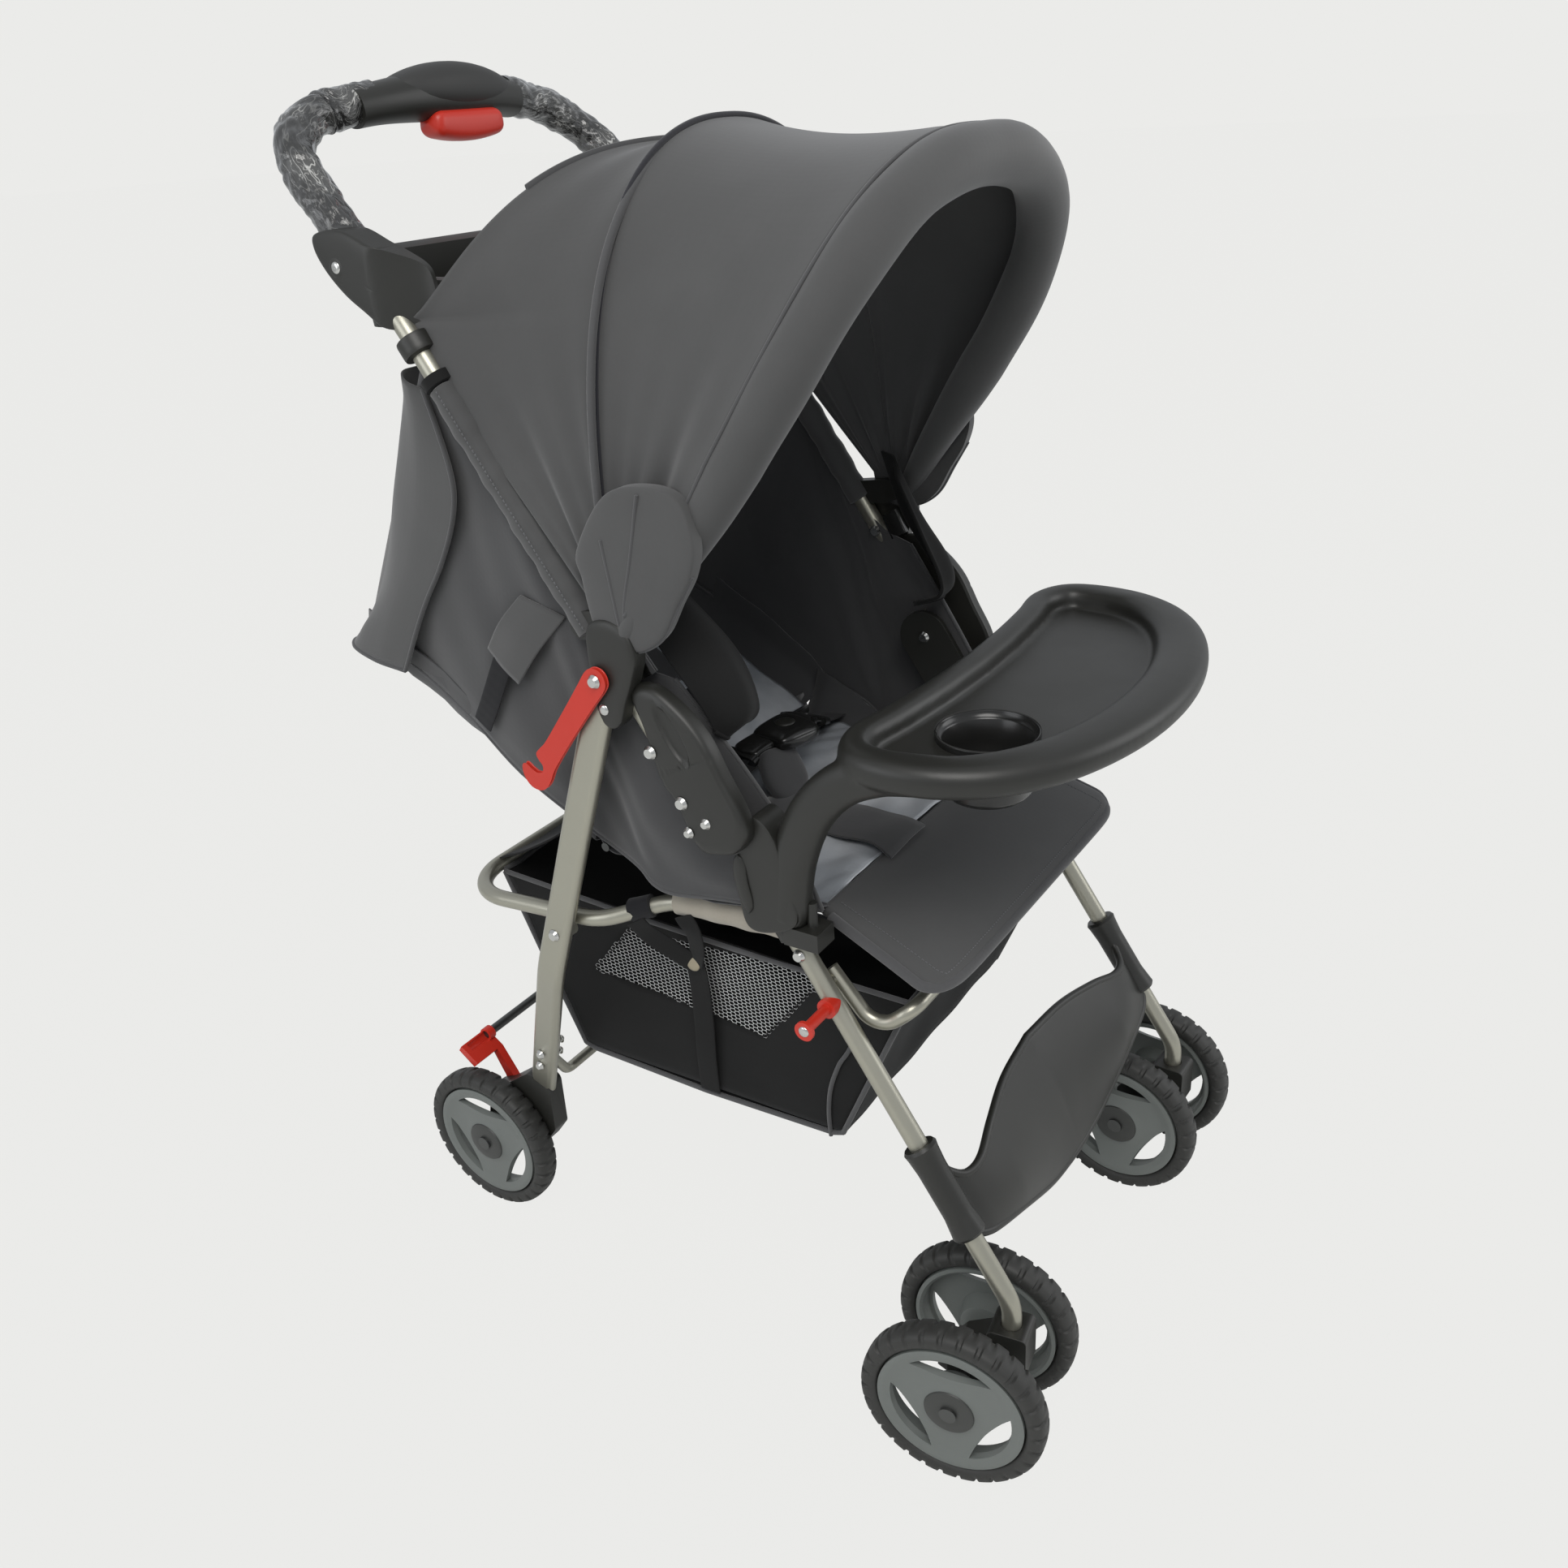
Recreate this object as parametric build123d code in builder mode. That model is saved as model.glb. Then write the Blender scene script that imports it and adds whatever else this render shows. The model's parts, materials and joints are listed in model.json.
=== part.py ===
"""A folding baby stroller: tube frame, reclining seat, hood, two trays, basket and six wheels.

Millimetres. +Z up, the child faces -Y, +X is the child's left.
Origin: on the floor, under the middle of the stroller.
"""

import math
import os

from build123d import *

os.makedirs("parts", exist_ok=True)

# ---------------------------------------------------------------- driving dimensions
# frame tubes
tube_d = 16.0
tube_wall = 1.2
gap = 0.3  # running gap between pieces that pass each other
pin_d = 6.0
pin_clearance = 0.05  # radial, where a pin turns in its hole
rivet_head_d = 11.0
rivet_head_h = 2.6

# front legs: an upright foot inside the castor, then a straight lean up to the fold hinge
castor_x = 190.0
castor_y = -310.0
leg_foot_z = 104.0
leg_bend_z = 148.0
leg_bend_r = 40.0
leg_top_x = 182.7
leg_past_hinge = 22.0

# fold hinge and handle
fold_y = -50.0
fold_z = 540.0
handle_lean = 34.45  # degrees from upright
handle_past_hinge = 20.0
hub_up = 109.2  # rear leg pivot, along the handle from the fold hinge
handle_bend_up = 398.0  # where the handle bends back, from the fold hinge
handle_corner = (166.0, 320.0, 1006.0)
handle_crown = (0.0, 300.0, 1030.0)
handle_bend_r = 150.0
handle_corner_r = 62.0
handle_crown_r = 250.0

# rear legs: flat-oval tube, straight to the bend and then in and back
oval_w = 27.0
oval_t = 12.0
leg_past_hub = 17.0
rear_bend_y = 113.0
rear_bend_z = 340.0
rear_foot_x = 159.5
rear_foot_y = 202.0
rear_foot_z = 146.0
rear_bend_r = 120.0

# wheels
wheel_d = 152.0
wheel_w = 24.0
rim_d = 119.0
axle_d = 8.0
axle_clearance = 0.05
rear_axle_y = 262.0
rear_wheel_x = 181.0
castor_trail = 33.0
castor_wheel_x = 45.5  # from the swivel axis to a wheel's middle
castor_turn_right = 8.0  # degrees, as parked
castor_turn_left = -2.0

# seat bar
bar_d = 14.0
bar_pivot_y = -131.0
bar_front_x = 165.0
bar_rear_x = 199.0
bar_pin_y = 97.0
bar_pin_z = 384.0
bar_rear_y = 226.0
bar_corner_r = 55.0

# seat
seat_side_gap = 8.65  # from the seat board to a tray socket
seat_t = 14.0
seat_front_y = -140.0
seat_rear_y = 66.0
back_w = 312.0
back_hinge_y = 78.0
back_hinge_z = 446.0
back_rod_d = 8.0
back_len = 312.0
back_rise = 29.0  # degrees above level, reclined
back_t = 16.0
flap_len = 104.0
flap_drop = 20.0  # degrees below level
flap_w = 338.0

# hood: arches about one pivot on the handle
hood_y = 2.0
hood_z = 668.0
hood_half_w = 212.0
hood_t = 1.6
mid_bow_r = 326.0
mid_bow_lean = 93.0  # degrees from level forward
bow_d = 6.0
rim_r = 352.0
rim_lean = 56.0
rim_half_w = 188.0
rim_pad_d = 34.0
rim_pad_start = 70.0
hood_rear_top = (67.0, 980.0)
hood_collar_up = 368.0

# child tray
tray_top_z = 604.0
tray_half_w = 190.0
tray_front_y = -352.0
tray_rear_y = -169.0
tray_corner_r = 96.0
tray_rim_h = 24.0
tray_rim_w = 20.0
tray_well = 14.0
tray_floor_t = 3.0
cup_x = -105.0
cup_y = -245.0
cup_r = 37.0
cup_depth = 46.0
arm_w = 24.0
arm_t = 22.0
arm_x = 188.0

# parent tray, between the handle tubes
parent_half_w = 186.0
parent_front_y = 150.0
parent_rear_y = 240.0
parent_bottom_z = 866.0
parent_front_h = 33.0
parent_rear_h = 54.0
parent_wall = 3.0
parent_cup_x = 112.0
parent_cup_r = 34.0

# latch hook and its peg
hook_len = 107.8  # pivot to notch
hook_t = 4.0
hook_rest = -52.4  # degrees from level, hanging
peg_z = 380.0
peg_end_x = 230.0

# ---------------------------------------------------------------- worked-out places
tube_r = tube_d / 2
wheel_r = wheel_d / 2
handle_x = leg_top_x + tube_d + gap  # side by side with the front leg
lean = math.radians(handle_lean)
leg_run = fold_y - castor_y
leg_rise = fold_z - leg_bend_z
rear_leg_x = handle_x + tube_r + gap + oval_t / 2


def up_handle(distance):
    """Place on the straight of the handle, a distance up from the fold hinge."""
    return (fold_y + distance * math.sin(lean), fold_z + distance * math.cos(lean))


def on_leg(z):
    """Place on the straight of the front leg at a height: x (left side) and y."""
    t = (z - leg_bend_z) / leg_rise
    return (castor_x + t * (leg_top_x - castor_x), castor_y + t * leg_run)


hub_y, hub_z = up_handle(hub_up)
bend_y, bend_z = up_handle(handle_bend_up)
leg_dir = Vector(leg_top_x - castor_x, leg_run, leg_rise).normalized()
bar_pivot_z = leg_bend_z + (bar_pivot_y - castor_y) / leg_run * leg_rise
bar_slope = (bar_pin_z - bar_pivot_z) / (bar_pin_y - bar_pivot_y)
SIDES = {"right": -1, "left": 1}


def export(part, label):
    """Name a finished piece and write it."""
    part.label = label
    export_step(part, f"parts/{label}.step")
    return part


def swept_tube(points, radii, outer_d, wall):
    """A round tube along a polyline with filleted corners."""
    with BuildPart() as made:
        with BuildLine() as path:
            FilletPolyline(*points, radius=radii)
        with BuildSketch(Plane(origin=path.line @ 0, z_dir=path.line % 0)):
            Circle(outer_d / 2)
            if wall:
                Circle(outer_d / 2 - wall, mode=Mode.SUBTRACT)
        sweep()
    return made.part


def cross_pin(x0, x1, y, z, shank_d, head0=True, head1=True, head_d=rivet_head_d):
    """A rivet or pin along X with low domed heads outside x0 and x1."""
    with BuildPart() as made:
        with BuildSketch(Plane.YZ.offset(x0)):
            with Locations((y, z)):
                Circle(shank_d / 2)
        extrude(amount=x1 - x0)
        if head1:
            with BuildSketch(Plane.YZ.offset(x1)):
                with Locations((y, z)):
                    Circle(head_d / 2)
            extrude(amount=rivet_head_h, taper=35)
        if head0:
            with BuildSketch(Plane(origin=(x0, 0, 0), x_dir=(0, 1, 0), z_dir=(-1, 0, 0))):
                with Locations((y, -z)):
                    Circle(head_d / 2)
            extrude(amount=rivet_head_h, taper=35)
    return made.part


def slot_plate(x0, x1, place, length, width, angle):
    """A plate across X whose outline is a slot, centred at a place and turned in the side view."""
    with BuildPart() as made:
        with BuildSketch(Plane.YZ.offset(x0)):
            with Locations(Location((place[0], place[1]), angle)):
                SlotCenterToCenter(length, width)
        extrude(amount=x1 - x0)
    return made.part


# ---------------------------------------------------------------- front legs and the fold pin
pin_hole_d = pin_d + 2 * pin_clearance
fold_place = (fold_y, fold_z)
bar_place = (bar_pivot_y, bar_pivot_z)
leg_end = Vector(leg_top_x, fold_y, fold_z) + leg_dir * leg_past_hinge
leg_points = [
    (castor_x, castor_y, leg_foot_z),
    (castor_x, castor_y, leg_bend_z),
    (leg_end.X, leg_end.Y, leg_end.Z),
]

with BuildPart() as front_legs:
    with BuildLine() as leg_path:
        FilletPolyline(*leg_points, radius=leg_bend_r)
    with BuildSketch(Plane(origin=leg_path.line @ 0, z_dir=leg_path.line % 0)):
        Circle(tube_r)
        Circle(tube_r - tube_wall, mode=Mode.SUBTRACT)
    sweep()
    for hole_y, hole_z in (fold_place, bar_place):
        with Locations(Location((castor_x, hole_y, hole_z), (0, 90, 0))):
            Cylinder(pin_hole_d / 2, 4 * tube_d, mode=Mode.SUBTRACT)
    mirror(about=Plane.YZ)
export(front_legs.part, "front_legs")

# a plate inside each leg top, under the fold pin
plate_t = 5.0
plate_x = leg_end.X - tube_r - gap
leg_angle = math.degrees(math.atan2(leg_rise, leg_run))
base_down = 56.0
base_w = 50.0
base_mid = (
    fold_y - base_down / 2 * math.cos(math.radians(leg_angle)),
    fold_z - base_down / 2 * math.sin(math.radians(leg_angle)),
)
with BuildPart() as hinge_bases:
    add(slot_plate(plate_x - plate_t, plate_x, base_mid, base_down, base_w, leg_angle))
    with Locations(Location((plate_x, fold_y, fold_z), (0, 90, 0))):
        Cylinder(pin_hole_d / 2, 4 * plate_t, mode=Mode.SUBTRACT)
    mirror(about=Plane.YZ)
export(hinge_bases.part, "hinge_bases")

cover_x = handle_x - tube_r + 2.0
cover_out_x = handle_x + tube_r + 9.0
bar_leg_x = on_leg(bar_pivot_z)[0]
with BuildPart() as front_rivets:
    add(cross_pin(plate_x - plate_t, cover_out_x + gap, *fold_place, pin_d))
    add(cross_pin(bar_front_x - bar_d / 2 - gap, bar_leg_x + tube_r + gap, *bar_place, pin_d))
    mirror(about=Plane.YZ)
export(front_rivets.part, "front_rivets")

# ---------------------------------------------------------------- footrest
rest_sleeve_low = 207.0
rest_sleeve_high = 266.0
rest_sleeve_wall = 3.5
rest_t = 5.0
rest_mid_low = 151.0
rest_mid_high = 252.0
rest_wing_x = 120.0
rest_wing_low = 178.0
sleeve_fit = 0.1  # radial, a moulding snapped on a tube
rest_lean = 90 - leg_angle
low_x, low_y = on_leg(rest_sleeve_low)
high_x, high_y = on_leg(rest_sleeve_high)
leg_tilt = math.radians(leg_angle)
rest_plane = Plane(
    origin=(0, low_y, rest_sleeve_low),
    x_dir=(1, 0, 0),
    z_dir=(0, -math.sin(leg_tilt), math.cos(leg_tilt)),
)


def up_rest(z):
    """Distance up the footrest's slope from the foot of its sleeves."""
    return (z - rest_sleeve_low) / math.sin(leg_tilt)


with BuildPart() as footrest:
    with BuildSketch(rest_plane):
        with BuildLine():
            top = Spline(
                (-low_x, up_rest(rest_sleeve_high - 8)),
                (-rest_wing_x, up_rest(rest_mid_high - 2)),
                (0, up_rest(rest_mid_high + 2)),
                (rest_wing_x, up_rest(rest_mid_high - 2)),
                (low_x, up_rest(rest_sleeve_high - 8)),
            )
            Line(top @ 1, (low_x, up_rest(rest_sleeve_low + 4)))
            bottom = Spline(
                (low_x, up_rest(rest_sleeve_low + 4)),
                (rest_wing_x, up_rest(rest_wing_low)),
                (0, up_rest(rest_mid_low)),
                (-rest_wing_x, up_rest(rest_wing_low)),
                (-low_x, up_rest(rest_sleeve_low + 4)),
            )
            Line(bottom @ 1, top @ 0)
        make_face()
    extrude(amount=rest_t / 2, both=True)
    for side in (-1, 1):
        sleeve_axis = Vector(side * (high_x - low_x), high_y - low_y, rest_sleeve_high - rest_sleeve_low)
        with BuildSketch(Plane(origin=(side * low_x, low_y, rest_sleeve_low), z_dir=sleeve_axis)):
            Circle(tube_r + sleeve_fit + rest_sleeve_wall)
        extrude(amount=sleeve_axis.length)
    for side in (-1, 1):
        sleeve_axis = Vector(side * (high_x - low_x), high_y - low_y, rest_sleeve_high - rest_sleeve_low)
        with BuildSketch(Plane(origin=(side * low_x, low_y, rest_sleeve_low), z_dir=sleeve_axis)):
            Circle(tube_r + sleeve_fit)
        extrude(amount=2 * sleeve_axis.length, both=True, mode=Mode.SUBTRACT)
export(footrest.part, "footrest")

# ---------------------------------------------------------------- basket front bar and latch peg
front_bar_d = 12.0
front_bar_x = on_leg(bar_pivot_z)[0] - tube_r - front_bar_d / 2 - 6 * gap
with BuildPart() as basket_front_bar:
    add(
        swept_tube(
            [
                (front_bar_x, on_leg(398)[1], 398),
                (front_bar_x, -184, 352),
                (front_bar_x - 8, -212, 376),
                (-front_bar_x + 8, -212, 376),
                (-front_bar_x, -184, 352),
                (-front_bar_x, on_leg(398)[1], 398),
            ],
            [20, 16, 16, 20],
            front_bar_d,
            0,
        )
    )
    for side in (-1, 1):
        with BuildSketch(Plane.YZ.offset(side * front_bar_x)):
            with Locations(on_leg(392)[1:] + (392,)):
                Circle(4)
        extrude(amount=side * (on_leg(392)[0] - tube_r - gap - front_bar_x))
export(basket_front_bar.part, "basket_front_bar")

peg_x, peg_y = on_leg(peg_z)
peg_r = 4.5
flange_r = 8.0
flange_t = 3.0
with BuildPart() as latch_peg:
    with BuildSketch(Plane.YZ.offset(peg_x)):
        with Locations((peg_y, peg_z)):
            Circle(flange_r)
    extrude(amount=tube_r + 4)
    with BuildSketch(Plane.YZ.offset(peg_x)):
        with Locations((peg_y, peg_z)):
            Circle(peg_r)
    extrude(amount=peg_end_x - peg_x)
    with BuildSketch(Plane.YZ.offset(peg_end_x - flange_t)):
        with Locations((peg_y, peg_z)):
            Circle(flange_r)
    extrude(amount=flange_t)
    with BuildSketch(Plane(origin=(peg_x, peg_y, peg_z), z_dir=leg_dir)):
        Circle(tube_r + sleeve_fit)
    extrude(amount=30, both=True, mode=Mode.SUBTRACT)
export(latch_peg.part.mirror(Plane.YZ), "latch_peg")

# ---------------------------------------------------------------- handle
handle_foot = up_handle(-handle_past_hinge)
handle_points = [
    (handle_x, *handle_foot),
    (handle_x, bend_y, bend_z),
    handle_corner,
    handle_crown,
    (-handle_corner[0], *handle_corner[1:]),
    (-handle_x, bend_y, bend_z),
    (-handle_x, *handle_foot),
]
handle_radii = [handle_bend_r, handle_corner_r, handle_crown_r, handle_corner_r, handle_bend_r]
with BuildPart() as handle_tube:
    add(swept_tube(handle_points, handle_radii, tube_d, tube_wall))
    for hole_y, hole_z in (fold_place, (hub_y, hub_z)):
        for side in (-1, 1):
            with Locations(Location((side * handle_x, hole_y, hole_z), (0, 90, 0))):
                Cylinder(pin_hole_d / 2, 2 * tube_d, mode=Mode.SUBTRACT)
export(handle_tube.part, "handle_tube")


def handle_sleeve_cut(radial_gap):
    """The room that the handle tube takes, with a radial gap."""
    return swept_tube(handle_points, handle_radii, tube_d + 2 * radial_gap, 0)


cover_low = -8.0
cover_high = 44.0
cover_w = 60.0
cover_wall = 2.5
handle_angle = 90 - handle_lean
cover_mid = up_handle((cover_low + cover_high) / 2)
with BuildPart() as hinge_covers:
    add(slot_plate(cover_x, cover_out_x, cover_mid, cover_high - cover_low, cover_w, handle_angle))
    add(
        slot_plate(
            cover_x - 1,
            cover_out_x - cover_wall,
            cover_mid,
            cover_high - cover_low,
            cover_w - 2 * cover_wall,
            handle_angle,
        ),
        mode=Mode.SUBTRACT,
    )
    with BuildSketch(Plane(origin=(handle_x, *fold_place), z_dir=(0, math.sin(lean), math.cos(lean)))):
        Circle(tube_r + gap)
    extrude(amount=2 * hub_up, mode=Mode.SUBTRACT)
    for rivet_up, rivet_side in ((0, 0), (cover_high, 0), (-22, 10), (-22, -10)):
        rivet_y, rivet_z = up_handle(rivet_up)
        rivet_y += rivet_side * math.cos(lean)
        rivet_z -= rivet_side * math.sin(lean)
        with Locations(Location((cover_out_x, rivet_y, rivet_z), (0, 90, 0))):
            Cylinder(pin_hole_d / 2, 4 * cover_wall, mode=Mode.SUBTRACT)
    mirror(about=Plane.YZ)
export(hinge_covers.part, "hinge_covers")

cap_t = 2.4
cap_x = rear_leg_x + oval_t / 2 + gap
with BuildPart() as handle_rivets:
    add(cross_pin(handle_x - tube_r - gap, cap_x + cap_t + hook_t + 2 * gap, hub_y, hub_z, pin_d))
    add(cross_pin(handle_x + tube_r, cover_out_x, *up_handle(cover_high), pin_d, head0=False))
    for rivet_side in (-10, 10):
        rivet_y, rivet_z = up_handle(-22)
        rivet_y += rivet_side * math.cos(lean)
        rivet_z -= rivet_side * math.sin(lean)
        add(cross_pin(cover_out_x - cover_wall, cover_out_x, rivet_y, rivet_z, pin_d, head_d=9))
    mirror(about=Plane.YZ)
export(handle_rivets.part, "handle_rivets")

# ---------------------------------------------------------------- grips and the grip module
module_half = 100.0
module_w = 46.0
module_h = 34.0
grip_wall = 5.5
corner = Vector(*handle_corner)
before_corner = Vector(handle_x, bend_y, bend_z)
grip_low_share = 0.45
grip_low = before_corner + (corner - before_corner) * grip_low_share
crown = Vector(*handle_crown)
grip_high = corner + (crown - corner) * ((corner.X - module_half - 2.5) / corner.X)
with BuildPart() as grips:
    with BuildLine() as grip_path:
        FilletPolyline(tuple(grip_low), tuple(corner), tuple(grip_high), radius=handle_corner_r)
    with BuildSketch(Plane(origin=grip_path.line @ 0, z_dir=grip_path.line % 0)):
        Circle(tube_r + sleeve_fit + grip_wall)
        Circle(tube_r + sleeve_fit, mode=Mode.SUBTRACT)
    sweep()
    mirror(about=Plane.YZ)
export(grips.part, "grips")

# the module follows the crown of the handle: a fat lens split level into two shells
module_mid = Vector(0, handle_crown[1] + 3, handle_crown[2] - 5)
module_end_drop = 9.0  # the ends lie lower and further back than the middle
module_end_back = 8.0
trigger_w = 80.0
trigger_d = 22.0
trigger_travel = 5.0
trigger_h = 21.0
trigger_seat = 2.0  # how far the trigger stands in its room when let go
handle_room = handle_sleeve_cut(sleeve_fit)


def module_section(x, width, height):
    """An oval section of the module across X."""
    share = (x / module_half) ** 2
    with BuildSketch(
        Plane(
            origin=(x, module_mid.Y + module_end_back * share, module_mid.Z - module_end_drop * share),
            x_dir=(0, 1, 0),
            z_dir=(1, 0, 0),
        )
    ) as drawn:
        Ellipse(width / 2, height / 2)
    return drawn.sketch


module_sizes = [(1.0, 25, 22), (0.84, 33, 27), (0.45, 44, 32), (0.0, module_w, module_h)]
with BuildPart() as module_solid:
    stations = [(-share, w, h) for share, w, h in module_sizes] + [
        (share, w, h) for share, w, h in reversed(module_sizes[:-1])
    ]
    loft([module_section(share * module_half, w, h) for share, w, h in stations])
trigger_y = module_mid.Y - 6
trigger_top_z = module_mid.Z - module_h / 2 + trigger_seat
with BuildPart() as trigger_room:
    with Locations((0, trigger_y, trigger_top_z + trigger_travel + gap)):
        Box(
            trigger_w + 2 * gap, trigger_d + 2 * gap, 3 * trigger_travel,
            align=(Align.CENTER, Align.CENTER, Align.MAX),
        )
split_gap = 0.2
beyond = 400.0  # a cutter reaching past anything it cuts
for label, sign in (("grip_module_upper", 1), ("grip_module_lower", -1)):
    with BuildPart() as shell:
        add(module_solid.part)
        add(handle_room, mode=Mode.SUBTRACT)
        with Locations((0, module_mid.Y, module_mid.Z - sign * (beyond / 2 - split_gap / 2))):
            Box(beyond, beyond, beyond, mode=Mode.SUBTRACT)
        if sign < 0:
            add(trigger_room.part, mode=Mode.SUBTRACT)
        else:
            with Locations((0, module_mid.Y, module_mid.Z + module_h / 2)):
                Box(26, 10, 3, mode=Mode.SUBTRACT)
    keep = sorted(shell.part.solids(), key=lambda solid: solid.volume)[-1]
    export(Part([keep]) if len(shell.part.solids()) > 1 else shell.part, label)

with BuildPart() as fold_trigger:
    with BuildSketch(Plane.XY.offset(trigger_top_z - trigger_h)):
        with Locations((0, trigger_y)):
            SlotOverall(trigger_w, trigger_d)
    extrude(amount=trigger_h)
    fillet(fold_trigger.edges().group_by(Axis.Z)[0], radius=5)
export(fold_trigger.part, "fold_trigger")

with BuildPart() as safety_slide:
    with Locations((0, module_mid.Y, module_mid.Z + module_h / 2 - 1.5 + gap)):
        Box(15, 10 - 2 * gap, 2.4, align=(Align.CENTER, Align.CENTER, Align.MIN))
    fillet(safety_slide.edges().filter_by(Axis.Y).group_by(Axis.Z)[-1], radius=1)
export(safety_slide.part, "safety_slide")

# ---------------------------------------------------------------- parent tray
bracket_half = 15.0
bracket_out_x = handle_x + tube_r + 5.0
bracket_low = up_handle(handle_bend_up - 22)
bracket_high = up_handle(handle_bend_up + 30)
across = (math.cos(lean) * bracket_half, -math.sin(lean) * bracket_half)
tray_profile = [
    (parent_front_y, parent_bottom_z),
    (parent_rear_y - 8, parent_bottom_z),
    (parent_rear_y, parent_bottom_z + parent_rear_h),
    (parent_front_y, parent_bottom_z + parent_front_h),
]
well_depth = parent_front_h - 2 * parent_wall
with BuildPart() as parent_tray:
    with BuildSketch(Plane.YZ.offset(-parent_half_w)):
        Polygon(*tray_profile, align=None)
    extrude(amount=2 * parent_half_w)
    fillet(parent_tray.edges().filter_by(Axis.Z, tolerance=20), radius=14)
    with BuildSketch(Plane.XY.offset(parent_bottom_z + parent_wall)):
        with Locations((0, (parent_front_y + parent_rear_y) / 2 - 3)):
            RectangleRounded(
                2 * (parent_half_w - parent_wall - 3), parent_rear_y - parent_front_y - 20, 12
            )
    extrude(amount=2 * parent_rear_h, mode=Mode.SUBTRACT)
    with BuildSketch(Plane.XY.offset(parent_bottom_z)):
        for side in (-1, 1):
            with Locations((side * parent_cup_x, (parent_front_y + parent_rear_y) / 2 - 3)):
                Circle(parent_cup_r + parent_wall)
                Circle(parent_cup_r, mode=Mode.SUBTRACT)
    extrude(amount=well_depth - 4)
    for side in (-1, 1):
        with BuildSketch(Plane.YZ.offset(side * (parent_half_w - 1))):
            Polygon(
                (bracket_low[0] - across[0], bracket_low[1] - across[1]),
                (bracket_low[0] + across[0], bracket_low[1] + across[1]),
                (bracket_high[0] + across[0] + 26, bracket_high[1] + across[1] + 8),
                (bracket_high[0] - across[0] + 8, bracket_high[1] - across[1] + 14),
                align=None,
            )
        extrude(amount=side * (bracket_out_x - parent_half_w + 1))
    add(handle_room, mode=Mode.SUBTRACT)
export(parent_tray.part, "parent_tray")

# ---------------------------------------------------------------- hood
hood_place = (hood_y, hood_z)


def arch_plane(lean_angle, origin_y=hood_y, origin_z=hood_z):
    """A plane through the X axis of the hood pivot, its own Y pointing up the arch."""
    tilt = math.radians(lean_angle)
    return Plane(
        origin=(0, origin_y, origin_z),
        x_dir=(1, 0, 0),
        z_dir=(0, -math.sin(tilt), -math.cos(tilt)),
    )


def arch_points(half_w, height, bend=0.64, count=5, start=0.0):
    """Points of a superellipse arch from its right foot to its left, each foot a height up."""
    foot = math.asin((start / height) ** (1 / bend))
    angles = [foot + (math.pi - 2 * foot) * step / (2 * count) for step in range(0, 2 * count + 1)]
    return [
        (
            half_w * math.copysign(abs(math.cos(t)) ** 0.89, math.cos(t)),
            height * math.sin(t) ** bend,
        )
        for t in angles
    ]


def arch_sketch(plane, half_w, height, thick):
    """A thin arch as a closed face."""
    outer = arch_points(half_w, height)
    inner = arch_points(half_w - thick, height - thick)
    with BuildSketch(plane) as drawn:
        with BuildLine():
            Spline(*outer)
            Line(outer[-1], inner[-1])
            Spline(*inner)
            Line(inner[0], outer[0])
        make_face()
    return drawn.sketch


collar = up_handle(hood_collar_up)
rear_lean = math.degrees(math.atan2(hood_rear_top[1] - collar[1], collar[0] - hood_rear_top[0]))
rear_reach = math.dist(collar, hood_rear_top)
mid_face = arch_sketch(arch_plane(mid_bow_lean + 0.4), hood_half_w, mid_bow_r, hood_t)
mid_face_front = arch_sketch(arch_plane(mid_bow_lean - 0.4), hood_half_w, mid_bow_r, hood_t)
rear_face = arch_sketch(arch_plane(rear_lean, *collar), hood_half_w, rear_reach, hood_t)
rim_tilt = math.radians(rim_lean)
rim_back = rim_pad_d / 2 + 2 * gap
front_face = arch_sketch(
    arch_plane(rim_lean, hood_y + rim_back * math.sin(rim_tilt), hood_z + rim_back * math.cos(rim_tilt)),
    rim_half_w + rim_pad_d / 2,
    rim_r + rim_pad_d / 3,
    hood_t,
)

with BuildPart() as canopy_rear_panel:
    loft([mid_face, rear_face], ruled=True)
export(canopy_rear_panel.part, "canopy_rear_panel")

with BuildPart() as canopy_front_panel:
    loft([mid_face_front, front_face], ruled=True)
export(canopy_front_panel.part, "canopy_front_panel")

# the eyes that turn the two arches on the handle: the middle arch carries the pin, which turns in
# the clip, and the front arch turns on the pin's outer end
eye_r = 8.0
eye_t = 1.2
hood_pin_deep = 2.0  # how far the pin stands in the clip
clip_x = handle_x + tube_r + gap
eye_mid_x = clip_x + gap
eye_front_x = eye_mid_x + eye_t + gap
hood_pin_end = eye_front_x + eye_t


def eye_arm(x0, lean_angle, reach):
    """A thin plate on each side, from the hood pivot up along an arch."""
    tilt = math.radians(lean_angle)
    middle = (hood_y - reach / 2 * math.cos(tilt), hood_z + reach / 2 * math.sin(tilt))
    with BuildPart() as made:
        add(slot_plate(x0, x0 + eye_t, middle, reach, 2 * eye_r, 180 - lean_angle))
        mirror(about=Plane.YZ)
    return made.part


bow_in = hood_t + 3 * gap + bow_d / 2
bow_foot_x = hood_half_w - bow_in
bow_start = 30.0
with BuildPart() as canopy_mid_bow:
    with BuildLine(arch_plane(mid_bow_lean)) as bow_path:
        Spline(*arch_points(bow_foot_x, mid_bow_r - bow_in, start=bow_start))
    with BuildSketch(Plane(origin=bow_path.line @ 0, z_dir=bow_path.line % 0)):
        Circle(bow_d / 2)
    sweep()
    add(eye_arm(eye_mid_x, mid_bow_lean, bow_start + 4))
    for side in (-1, 1):
        with BuildSketch(Plane.YZ.offset(side * (clip_x - hood_pin_deep))):
            with Locations(hood_place):
                Circle(pin_d / 2)
        extrude(amount=side * (hood_pin_end - clip_x + hood_pin_deep))
export(canopy_mid_bow.part, "canopy_mid_bow")

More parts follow.
